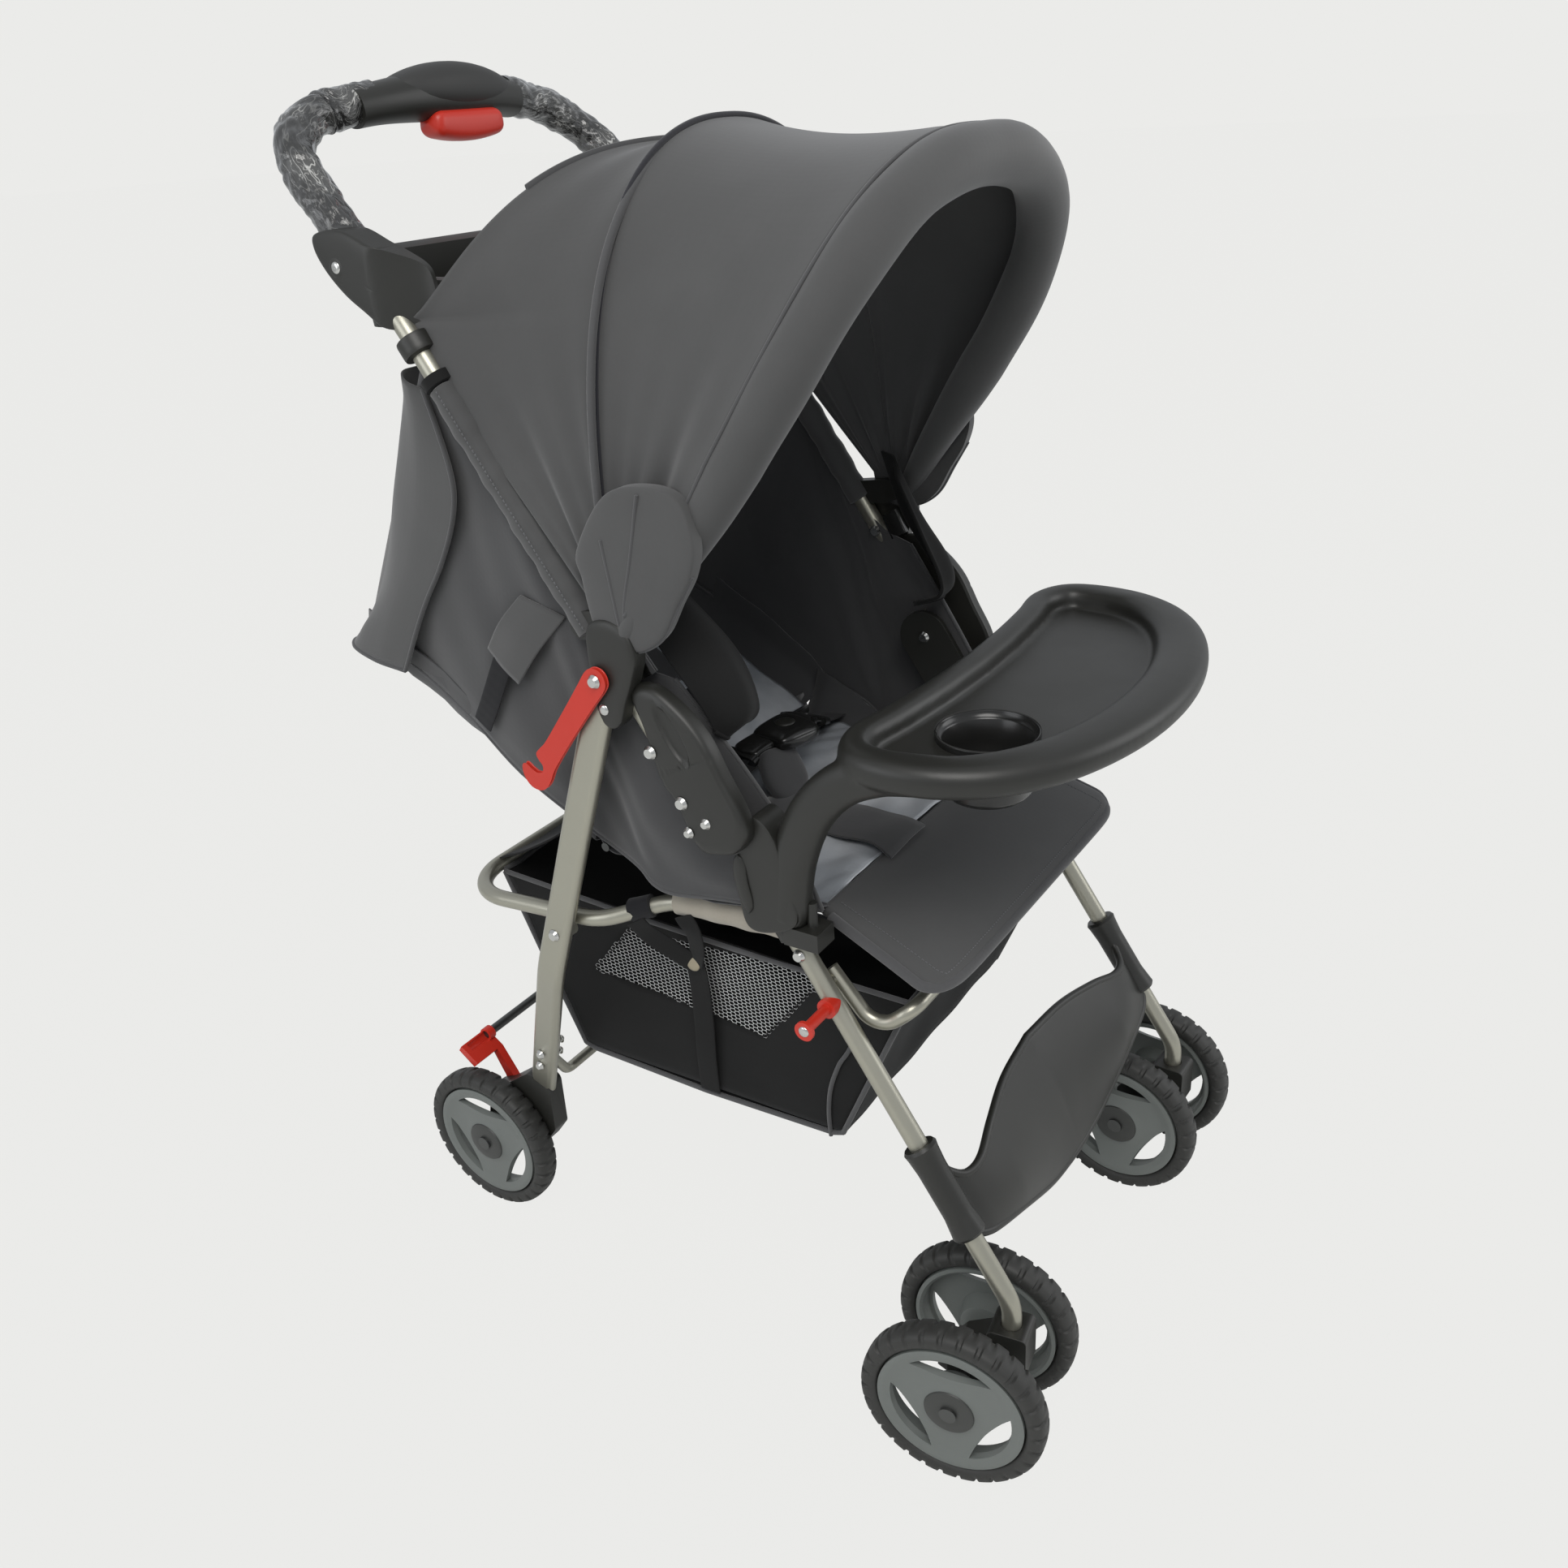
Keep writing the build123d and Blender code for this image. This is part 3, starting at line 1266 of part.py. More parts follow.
arm_points = [
    (arm_x, arm_y, arm_foot_z),
    (arm_x, arm_y, arm_foot_z + tongue_h + 12),
    (arm_x - 2, -158, 574),
    (arm_x - 14, -214, tray_top_z - arm_t / 2 - 1),
]
tray_low_z = tray_top_z - tray_rim_h
with BuildPart() as child_tray:
    with BuildSketch(Plane.XY.offset(tray_low_z)) as tray_outline:
        with Locations((0, (tray_front_y + tray_rear_y) / 2)):
            Rectangle(2 * tray_half_w, tray_rear_y - tray_front_y)
        fillet(tray_outline.vertices().group_by(Axis.Y)[0], radius=tray_corner_r)
        fillet(tray_outline.vertices().group_by(Axis.Y)[-1], radius=24)
    extrude(amount=tray_rim_h)
    with BuildSketch(Plane.XY.offset(tray_top_z)):
        offset(tray_outline.sketch.face().moved(Location((0, 0, tray_rim_h))), amount=-tray_rim_w)
    extrude(amount=-tray_well, mode=Mode.SUBTRACT)
    with BuildSketch(Plane.XY.offset(tray_low_z)):
        offset(tray_outline.sketch, amount=-4)
    extrude(amount=tray_rim_h - tray_well - tray_floor_t, mode=Mode.SUBTRACT)
    with BuildSketch(Plane.XY.offset(tray_top_z - cup_depth - tray_floor_t)):
        with Locations((cup_x, cup_y)):
            Circle(cup_r + tray_floor_t)
    extrude(amount=cup_depth + tray_floor_t - tray_well)
    with BuildSketch(Plane.XY.offset(tray_top_z - cup_depth)):
        with Locations((cup_x, cup_y)):
            Circle(cup_r)
    extrude(amount=cup_depth, mode=Mode.SUBTRACT)
    for side in (-1, 1):
        with BuildLine() as arm_path:
            FilletPolyline(*[(side * x, y, z) for x, y, z in arm_points], radius=40)
        with BuildSketch(Plane(origin=arm_path.line @ 0, x_dir=(1, 0, 0), z_dir=arm_path.line % 0)):
            RectangleRounded(arm_w, arm_t, 5)
        sweep()
        with BuildSketch(Plane.XY.offset(arm_foot_z - 4)):
            with Locations((side * arm_x, arm_y)):
                Circle(tongue_d / 2 + sleeve_fit)
        extrude(amount=tongue_h + 6, mode=Mode.SUBTRACT)
export(child_tray.part, "child_tray")
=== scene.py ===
# %% [markdown]
# # A folding baby stroller
#
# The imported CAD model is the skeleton: tubes, pins, hinges and wheels at their true size. This script
# dresses it. Fabric, moulded plastic, tyres and padding are surfaces worked out with numpy and laid over
# the frame, and every piece follows the CAD body that carries it on the real stroller. The child faces
# -Y, +X is the child's left, and all lengths below are written in millimetres and scaled once.

import json
import math

import bpy
import numpy as np
from mathutils import Matrix, Vector


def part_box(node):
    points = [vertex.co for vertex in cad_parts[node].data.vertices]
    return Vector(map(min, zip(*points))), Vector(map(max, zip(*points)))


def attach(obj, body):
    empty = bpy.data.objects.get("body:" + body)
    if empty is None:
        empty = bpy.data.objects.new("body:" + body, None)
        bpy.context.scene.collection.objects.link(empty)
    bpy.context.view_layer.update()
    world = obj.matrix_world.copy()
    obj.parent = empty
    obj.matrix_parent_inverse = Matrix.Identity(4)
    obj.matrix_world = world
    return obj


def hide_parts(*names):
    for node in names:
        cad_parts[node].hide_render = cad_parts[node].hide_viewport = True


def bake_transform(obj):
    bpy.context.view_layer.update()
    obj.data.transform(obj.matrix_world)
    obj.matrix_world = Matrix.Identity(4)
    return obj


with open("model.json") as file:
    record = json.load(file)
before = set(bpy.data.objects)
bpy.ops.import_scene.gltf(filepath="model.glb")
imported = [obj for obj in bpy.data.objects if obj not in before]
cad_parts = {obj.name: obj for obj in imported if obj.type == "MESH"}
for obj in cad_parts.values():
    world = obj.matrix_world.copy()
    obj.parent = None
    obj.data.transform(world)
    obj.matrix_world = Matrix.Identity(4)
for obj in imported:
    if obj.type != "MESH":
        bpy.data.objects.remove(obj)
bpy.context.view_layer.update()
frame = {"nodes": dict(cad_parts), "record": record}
MM = 0.001
pi = math.pi

# %% [markdown]
# Shader maths reads best as plain arithmetic. The small class below wraps one socket, so that `1 - mask`
# or `0.3 * grain` adds the Math nodes it stands for. Colours are blended with one Mix node each, because
# a Math node would turn a colour grey.

# %% A socket that can be added and multiplied
class Value:
    """A number that varies over a surface: arithmetic on it adds Math nodes."""

    def __init__(self, finish, socket):
        self.finish, self.socket = finish, socket

    def math(self, operation, *others):
        return self.finish.node("ShaderNodeMath", {"operation": operation},
            dict(enumerate((self,) + others)))

    def __add__(self, other):
        return self.math("ADD", other)

    def __mul__(self, other):
        return self.math("MULTIPLY", other)

    def __sub__(self, other):
        return self.math("SUBTRACT", other)

    def __rsub__(self, other):
        return self.finish.node("ShaderNodeMath", {"operation": "SUBTRACT"}, {0: other, 1: self})

    def __pow__(self, other):
        return self.math("POWER", other)

    __radd__ = __add__
    __rmul__ = __mul__

    def between(self, low, high):
        """0 below low, 1 above high, and a smooth step between them."""
        return self.finish.node(
            "ShaderNodeMapRange", {"interpolation_type": "SMOOTHSTEP"},
                {"Value": self, "From Min": low, "From Max": high}
        )


class Finish:
    """One material: a Principled shader and the nodes that drive it."""

    def __init__(self, name, **constants):
        self.material = bpy.data.materials.new(name)
        self.material.use_nodes = True
        self.tree = self.material.node_tree
        self.shader = self.tree.nodes["Principled BSDF"]
        self.put(self.shader, constants)

    def put(self, node, inputs):
        for key, item in inputs.items():
            key = key.replace("_", " ") if isinstance(key, str) else key
            socket = node.inputs[key]
            if isinstance(item, Value):
                self.tree.links.new(item.socket, socket)
            else:
                socket.default_value = item

    def node(self, kind, settings=None, inputs=None, output=0):
        """Any node: its type, its settings, the values or links of its sockets, and the output wanted."""
        made = self.tree.nodes.new(kind)
        for key, item in (settings or {}).items():
            setattr(made, key, item)
        self.put(made, inputs or {})
        return Value(self, made.outputs[output])

    def place(self, uv=False):
        return self.node("ShaderNodeTexCoord", output="UV" if uv else "Object")

    def noise(self, scale, detail=3.0, roughness=0.5, at=None, stretch=None, uv=False):
        at = at or self.place(uv)
        if stretch:
            at = self.node("ShaderNodeMapping", {}, {"Vector": at, "Scale": stretch})
        return self.node("ShaderNodeTexNoise", {},
            {"Vector": at, "Scale": scale, "Detail": detail, "Roughness": roughness})

    def mix(self, factor, first, second):
        """A colour between two colours."""
        made = self.tree.nodes.new("ShaderNodeMix")
        made.data_type = "RGBA"
        sockets = [s for s in made.inputs if s.type == "RGBA"]
        for socket, item in ((made.inputs[0], factor), (sockets[0], first), (sockets[1], second)):
            if isinstance(item, Value):
                self.tree.links.new(item.socket, socket)
            else:
                socket.default_value = item
        return Value(self, [s for s in made.outputs if s.type == "RGBA"][0])

    def bump(self, height, strength=0.3, distance=0.001):
        made = self.node("ShaderNodeBump", {},
            {"Height": height, "Strength": strength, "Distance": distance})
        self.put(self.shader, {"Normal": made})
        return self


def ink(code, scale=1.0):
    """A colour from its six-digit screen code, made linear."""
    parts = np.array([int(code[k : k + 2], 16) for k in (0, 2, 4)]) / 255
    linear = np.where(parts <= 0.04045, parts / 12.92, ((parts + 0.055) / 1.055) ** 2.4) * scale
    return (*linear.tolist(), 1.0)


# %% [markdown]
# ## Finishes
# The cloth is a plain-woven polyester, charcoal, dull, with a fine weave and slow uneven shading from
# handling. The weave is two sets of waves across the piece's own flat coordinates, which are measured in
# metres, so it keeps its scale where the sheet bends.

# %% Cloth
def cloth(name, code, weave=0.9, depth=0.25, slub=0.1, sheen=0.25, rough=0.86, crumple=0.25):
    """Woven cloth. weave is the pitch of the threads in millimetres; slub is the share of uneven shade."""
    made = Finish(name, Roughness=rough, Sheen_Weight=sheen, Sheen_Roughness=0.5, Specular_IOR_Level=0.25)
    pitch = 1000 / weave / 20
    threads = [
        made.node(
            "ShaderNodeTexWave", {"bands_direction": way, "wave_profile": "SIN"},
            {"Vector": made.place(uv=True), "Scale": pitch, "Distortion": 0.6, "Detail": 1.0},
            output=1,
        )
        for way in ("X", "Y")
    ]
    weave_height = threads[0] * 0.5 + threads[1] * 0.5
    cloud = made.noise(9.0, 4.0, 0.6)
    fibre = made.noise(420.0, 2.0, 0.7)
    shade = (cloud.between(0.3, 0.75)) * 0.6 + fibre * 0.4
    base = ink(code)
    low = tuple(c * (1 - slub) for c in base[:3]) + (1,)
    high = tuple(c * (1 + slub) for c in base[:3]) + (1,)
    made.put(made.shader, {"Base Color": made.mix(shade, low, high)})
    creases = made.noise(26.0, 3.0, 0.5)
    made.bump(weave_height * (0.16 * depth) + creases * crumple, 0.35, 0.0016)
    return made


charcoal = cloth("charcoal_cloth", "494949")
charcoal_dark = cloth("charcoal_lining", "414142", crumple=0.35)
binding = cloth("edge_binding", "4a4a4b", weave=0.7, depth=0.5, crumple=0.05)
black_cloth = cloth("black_cloth", "151515", slub=0.18, sheen=0.05, crumple=0.3)
webbing = cloth("webbing", "17171a", weave=1.6, depth=1.6, slub=0.2, sheen=0.1, crumple=0.02)
seat_film = Finish("seat_film", Roughness=0.28, Coat_Weight=0.4, Coat_Roughness=0.15,
    Specular_IOR_Level=0.5)
film_cloud = seat_film.noise(11.0, 3.0, 0.55)
seat_film.put(seat_film.shader,
    {"Base Color": seat_film.mix(film_cloud.between(0.3, 0.7), ink("969ba1"), ink("c2c5c9"))})
seat_film.bump(seat_film.noise(30.0, 4.0, 0.6), 0.45, 0.004)

# %% [markdown]
# Moulded plastic is a satin black with a fine spark-eroded grain. The tray's inset and the rims are the
# same plastic in other shades.

# %% Moulded plastic
def plastic(name, code, rough=0.42, grain=0.12, variation=0.08, coat=0.0):
    """Moulded plastic: a grain of small pits, and slow changes of gloss."""
    made = Finish(name, Specular_IOR_Level=0.5, Coat_Weight=coat, Coat_Roughness=0.12)
    base = ink(code)
    cloud = made.noise(14.0, 3.0, 0.6)
    low = tuple(c * (1 - variation) for c in base[:3]) + (1,)
    high = tuple(c * (1 + variation) for c in base[:3]) + (1,)
    made.put(made.shader, {"Base Color": made.mix(cloud, low, high),
        "Roughness": rough + (cloud - 0.5) * 0.14})
    made.bump(made.noise(1400.0, 2.0, 0.6) * 0.6 + made.noise(60.0, 2.0, 0.5) * 0.1, grain, 0.0004)
    return made


black_plastic = plastic("black_plastic", "22221f", rough=0.42)
gloss_black = plastic("gloss_black_plastic", "1c1c1b", rough=0.24, grain=0.03)
tray_inset = plastic("tray_inset", "454544", rough=0.42, grain=0.06)
rim_grey = plastic("rim_grey", "666a67", rough=0.42, grain=0.1)
cap_black = plastic("cap_black", "353634", rough=0.45)
red_plastic = plastic("red_plastic", "bd2a1a", rough=0.4, grain=0.06, variation=0.05)
tyre_rubber = plastic("tyre_rubber", "2a2a28", rough=0.55, grain=0.35, variation=0.2)

# %% [markdown]
# The tubes are steel with a champagne-silver paint: a metallic base with a fine flake and faint long
# marks from drawing. Rivets and axles are bright plated steel with a soft smear.

# %% Painted tube and bright steel
def metal(name, code, rough, flake=0.06, streak=(1, 1, 1), metallic=0.85):
    made = Finish(name, Metallic=metallic, Specular_IOR_Level=0.5)
    cloud = made.noise(24.0, 4.0, 0.6, stretch=streak)
    fine = made.noise(900.0, 2.0, 0.7)
    base = ink(code)
    low = tuple(c * (1 - 2.2 * flake) for c in base[:3]) + (1,)
    high = tuple(min(1.0, c * (1 + flake)) for c in base[:3]) + (1,)
    made.put(
        made.shader,
        {"Base Color": made.mix(cloud * 0.7 + fine * 0.3, low, high),
            "Roughness": rough + (cloud - 0.5) * 0.16},
    )
    made.bump(fine, 0.06, 0.0003)
    return made


tube_paint = metal("champagne_paint", "aaa89b", 0.36, streak=(1, 0.3, 0.3))
bright_steel = metal("bright_steel", "c9c9c6", 0.24, metallic=1.0)
# The dark steel below serves the axles, the hinge rod and the hood snaps, and on the brake bar it is painted shade.
dark_steel_and_shade = metal("dark_steel_and_shade", "5c5d5c", 0.38)
brass = metal("snap_brass", "a39a86", 0.34)
sleeve_cloth = cloth("bar_sleeve", "9a9488", weave=1.1, depth=0.8, slub=0.14)

# %% [markdown]
# ## Shapes
# Every new piece is a grid of points: a formula of two parameters, worked out for all points at once.
# `skin` turns the grid into a mesh with flat coordinates in metres, and `tube` carries an oval section
# along a path. `through` gives a smooth path through a few places.

# %% Grids into meshes
def new_mesh(name, points, faces, finish, body, uv=None, crease=40):
    """A mesh object in its place, smooth-shaded, with sharp edges above an angle."""
    mesh = bpy.data.meshes.new(name)
    mesh.from_pydata(points.reshape(-1, 3).tolist(), [], faces)
    mesh.polygons.foreach_set("use_smooth", np.ones(len(mesh.polygons), bool))
    if crease:
        mesh.set_sharp_from_angle(angle=math.radians(crease))
    if uv is not None:
        mesh.uv_layers.new(name="flat").data.foreach_set("uv", np.asarray(uv, np.float32).ravel())
    mesh.materials.append(finish.material)
    made = bpy.data.objects.new(name, mesh)
    bpy.context.scene.collection.objects.link(made)
    if body:
        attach(made, body)
    return made


def skin(name, points, finish, body, close_u=False, close_v=False, caps=False, thick=0.0, flip=False,
    crease=40):
    """A grid of points (u, v) in millimetres as one skin. Closed skins are turned to face outwards."""
    p = np.asarray(points, float) * MM
    nu, nv = p.shape[:2]
    iu, iv = np.arange(nu if close_u else nu - 1), np.arange(nv if close_v else nv - 1)
    a, b = np.meshgrid(iu, iv, indexing="ij")
    a2, b2 = (a + 1) % nu, (b + 1) % nv
    quads = np.stack([a * nv + b, a2 * nv + b, a2 * nv + b2, a * nv + b2], -1).reshape(-1, 4)
    step_u = np.linalg.norm(np.diff(np.concatenate([p, p[:1]]), axis=0), axis=-1).mean(1)
    step_v = np.linalg.norm(np.diff(np.concatenate([p, p[:, :1]], 1), axis=1), axis=-1).mean(0)
    lu = np.concatenate([[0], np.cumsum(step_u)])
    lv = np.concatenate([[0], np.cumsum(step_v)])
    ua, ub, va, vb = lu[a.ravel()], lu[a.ravel() + 1], lv[b.ravel()], lv[b.ravel() + 1]
    uv = np.stack([np.stack([ua, va], -1), np.stack([ub, va], -1), np.stack([ub, vb], -1),
        np.stack([ua, vb], -1)], 1)
    corners = p.reshape(-1, 3)[quads]
    turned = flip
    if (close_u or close_v) and (caps or (close_u and close_v)):
        mid = corners.reshape(-1, 3).mean(0)
        c = corners - mid
        volume = np.einsum("ij,ij->i", c[:, 0],
            np.cross(c[:, 1], c[:, 2]) + np.cross(c[:, 2], c[:, 3])).sum()
        turned = volume < 0
    faces = quads.tolist()
    uvs = uv
    if caps:
        ends = [list(range(nv))[::-1], list(range((nu - 1) * nv, nu * nv))]
        faces += ends
        uvs = np.concatenate([uv.reshape(-1, 2), np.zeros((2 * nv, 2))])
    if turned:
        faces = [face[::-1] for face in faces]
        if caps:
            uvs = np.concatenate([uv[:, ::-1].reshape(-1, 2), np.zeros((2 * nv, 2))])
        else:
            uvs = uv[:, ::-1]
    made = new_mesh(name, p, faces, finish, body, uvs, crease)
    if thick:
        wall = made.modifiers.new("thickness", "SOLIDIFY")
        wall.thickness, wall.offset = thick * MM, 0.0
    return made


def through(places, count, closed=False):
    """A Catmull-Rom curve through places: each span is a cubic whose slopes are half the neighbours' step."""
    q = np.asarray(places, float)
    if closed:
        q = np.concatenate([q[-1:], q, q[:2]])
    else:
        q = np.concatenate([2 * q[:1] - q[1:2], q, 2 * q[-1:] - q[-2:-1]])
    spans = len(q) - 3
    s = np.linspace(0, spans, count, endpoint=not closed)
    k = np.minimum(s.astype(int), spans - 1)
    t = (s - k)[:, None]
    p0, p1, p2, p3 = q[k], q[k + 1], q[k + 2], q[k + 3]
    return 0.5 * (2 * p1 + (p2 - p0) * t + (2 * p0 - 5 * p1 + 4 * p2 - p3) * t**2
        + (3 * p1 - p0 - 3 * p2 + p3) * t**3)


def even(path, count):
    """The same path at evenly spaced places along its length."""
    run = np.concatenate([[0], np.cumsum(np.linalg.norm(np.diff(path, axis=0), axis=1))])
    at = np.linspace(0, run[-1], count)
    return np.stack([np.interp(at, run, path[:, k]) for k in range(path.shape[1])], 1)


def unit(v):
    return v / np.maximum(np.linalg.norm(v, axis=-1, keepdims=True), 1e-9)


def rings(path, across, half_a, half_b=None, sides=20, power=2.0, closed=False):
    """Sections along a path. Each is a superellipse: half_a along `across`, half_b square to it and the path."""
    n = len(path)
    ahead = np.gradient(path, axis=0)
    if closed:
        ahead = np.roll(path, -1, 0) - np.roll(path, 1, 0)
    ahead = unit(ahead)
    across = np.broadcast_to(np.asarray(across, float), (n, 3))
    first = unit(across - np.einsum("ij,ij->i", across, ahead)[:, None] * ahead)
    second = np.cross(ahead, first)
    half_a = np.broadcast_to(np.asarray(half_a, float), (n,))
    half_b = half_a if half_b is None else np.broadcast_to(np.asarray(half_b, float), (n,))
    t = np.linspace(0, 2 * pi, sides, endpoint=False)
    c, s = np.cos(t), np.sin(t)
    c, s = np.sign(c) * abs(c) ** (2 / power), np.sign(s) * abs(s) ** (2 / power)
    return (
        path[:, None]
        + (half_a[:, None] * c)[..., None] * first[:, None]
        + (half_b[:, None] * s)[..., None] * second[:, None]
    )


def tube(name, path, across, half_a, half_b=None, finish=None, body=None, sides=20, power=2.0, closed=False,
    crease=50):
    """A closed rod along a path, its ends shut."""
    path = np.asarray(path, float)
    grid = rings(path, across, half_a, half_b, sides, power, closed)
    return skin(name, grid, finish, body, close_u=closed, close_v=True, caps=not closed, crease=crease)


def both(shape):
    """A shape on the right side and its mirror image on the left."""
    return (("right", shape), ("left", shape * np.array([-1.0, 1, 1])))


def end_round(n, share=0.12):
    """A profile of 1 that rounds down to nearly 0 at both ends, as a quarter circle does."""
    s = np.linspace(0, 1, n)
    edge = np.clip(np.minimum(s, 1 - s) / share, 0, 1)
    return np.sqrt(np.clip(1 - (1 - edge) ** 2, 1e-4, 1))


def dome(name, centre, axis, radius, height, finish, body, dish=0.0, sides=20):
    """A rivet head or button: a low dome on an axis, its rim rounded under."""
    axis = unit(np.asarray(axis, float))
    side = unit(np.cross(axis, [0.3, 0.5, 0.81]))
    up = np.cross(axis, side)
    a = np.linspace(0, pi / 2, 7)
    r = radius * np.concatenate([[0.85], np.cos(a)])
    h = height * np.concatenate([[-0.6], np.sin(a)]) - dish * np.concatenate([[0],
        np.linspace(0, 1, 7) ** 2])
    r[-1] = 0.02 * radius
    t = np.linspace(0, 2 * pi, sides, endpoint=False)
    grid = (
        np.asarray(centre, float)
        + r[:, None, None] * (np.cos(t)[:, None] * side + np.sin(t)[:, None] * up)
        + h[:, None, None] * axis
    )
    return skin(name, grid, finish, body, close_v=True, caps=True, crease=60)


def join(name, objects, finish, body, crease=35):
    """Several small pieces of one finish as one object."""
    chunks = [(np.array([v.co for v in o.data.vertices]),
        [list(f.vertices) for f in o.data.polygons]) for o in objects]
    points, faces, start = [], [], 0
    for p, f in chunks:
        points.append(p)
        faces += [[k + start for k in face] for face in f]
        start += len(p)
    for o in objects:
        bpy.data.objects.remove(o, do_unlink=True)
    return new_mesh(name, np.concatenate(points), faces, finish, body, crease=crease)


def finish_nodes(finish, *nodes):
    for node in nodes:
        slots = frame["nodes"][node].data.materials
        slots.clear()
        slots.append(finish.material)


# %% [markdown]
# ## Camera, light and floor
# One camera stands to the front and right of the stroller, a little above it. The light is a wide soft
# sky and three large lamps. The floor and the backdrop are pale only to the camera, so that they do not
# brighten the object, and the floor still takes a soft shadow.

# %% Camera
def look_from(azimuth, elevation, roll, distance, target, lens):
    """Camera axes from its direction: back = (sin a cos e, -cos a cos e, sin e), then a turn by roll."""
    a, e, r = (math.radians(k) for k in (azimuth, elevation, roll))
    back = Vector((math.sin(a) * math.cos(e), -math.cos(a) * math.cos(e), math.sin(e)))
    right = (-back).cross(Vector((0, 0, 1))).normalized()
    up = right.cross(-back)
    x_axis = right * math.cos(r) + up * math.sin(r)
    y_axis = up * math.cos(r) - right * math.sin(r)
    data = bpy.data.cameras.new("camera")
    data.lens, data.sensor_width, data.clip_start = lens, 36, 0.01
    camera = bpy.data.objects.new("camera", data)
    turn = Matrix((x_axis, y_axis, back)).transposed().to_4x4()
    camera.matrix_world = Matrix.Translation(Vector(target) * MM + back * distance * MM) @ turn
    bpy.context.scene.collection.objects.link(camera)
    bpy.context.scene.camera = camera


look_from(-55.81, 26.04, -3.51, 1267.0, (0, 4.05, 448.9), 32.3)
bpy.context.scene.view_settings.view_transform = "Standard"

# %% Light, floor and backdrop
backdrop = ink("ebebe9")
world = bpy.data.worlds.new("studio")
bpy.context.scene.world = world
world.use_nodes = True
sky = world.node_tree
sky.nodes.clear()
paths = sky.nodes.new("ShaderNodeLightPath")
seen = sky.nodes.new("ShaderNodeMath")
seen.operation = "MAXIMUM"
sky.links.new(paths.outputs["Is Camera Ray"], seen.inputs[0])
sky.links.new(paths.outputs["Is Transmission Ray"], seen.inputs[1])
glow, pale = sky.nodes.new("ShaderNodeBackground"), sky.nodes.new("ShaderNodeBackground")
glow.inputs["Color"].default_value, glow.inputs["Strength"].default_value = (0.93, 0.96, 1.0, 1), 0.62
pale.inputs["Color"].default_value = backdrop
blend_sky, sky_out = sky.nodes.new("ShaderNodeMixShader"), sky.nodes.new("ShaderNodeOutputWorld")
sky.links.new(seen.outputs[0], blend_sky.inputs[0])
sky.links.new(glow.outputs[0], blend_sky.inputs[1])
sky.links.new(pale.outputs[0], blend_sky.inputs[2])
sky.links.new(blend_sky.outputs[0], sky_out.inputs[0])


def lamp(name, place, aim, size, power, tint=(1, 1, 1)):
    data = bpy.data.lights.new(name, "AREA")
    data.shape, data.size, data.energy, data.color = "DISK", size, power, tint
    made = bpy.data.objects.new(name, data)
    place, aim = Vector(place), Vector(aim)
    made.matrix_world = Matrix.Translation(place) @ (aim - place).to_track_quat("-Z",
        "Y").to_matrix().to_4x4()
    bpy.context.scene.collection.objects.link(made)


lamp("key_lamp", (-1.4, -0.9, 2.6), (0, 0, 0.5), 1.6, 36, (1.0, 0.98, 0.95))
lamp("fill_lamp", (-2.4, 1.2, 1.4), (0, 0, 0.5), 1.8, 14, (0.95, 0.97, 1.0))
lamp("front_lamp", (1.6, -2.2, 1.5), (0, 0, 0.5), 1.8, 16)

floor_finish = Finish("floor", Roughness=0.9)
floor_finish.shader.inputs["Base Color"].default_value = ink("e6e6e3")
pale_floor = floor_finish.node("ShaderNodeEmission", {}, {"Color": backdrop})
direct = floor_finish.node("ShaderNodeLightPath", output=0)
floor_mix = floor_finish.node("ShaderNodeMixShader", {},
    {0: direct * 0.985, 1: Value(floor_finish, floor_finish.shader.outputs[0]), 2: pale_floor})
floor_finish.tree.links.new(floor_mix.socket, floor_finish.tree.nodes["Material Output"].inputs["Surface"])
ground = new_mesh("floor", np.array([[-30, -30, -0.0005], [30, -30, -0.0005], [30, 30, -0.0005], [-30, 30,
    -0.0005]], float), [[0, 1, 2, 3]], floor_finish, None)

# %% [markdown]
# ## Frame metal and rivets
# The tubes, rivets and axles are already right in the CAD model, so they only take their finish. Moulded
# parts whose shape is right are copied, their triangles merged, and their edges rounded with a bevel, as
# the mould has them.

# %% Finishes on the CAD nodes
finish_nodes(tube_paint, "front_legs", "handle_tube", "rear_legs", "seat_bar", "rear_brace",
    "basket_front_bar")
finish_nodes(bright_steel, "front_rivets", "handle_rivets", "rear_rivets", "castor_stems", "brake_pins")
finish_nodes(binding, "canopy_mid_bow")
# The brake bar is the same champagne-silver tube as the frame: the dark steel on it is painted shade, for the shadow
# it sits in.
finish_nodes(dark_steel_and_shade, "rear_axles", "castor_axle_left", "castor_axle_right", "back_hinge_rod",
    "brake_bar")


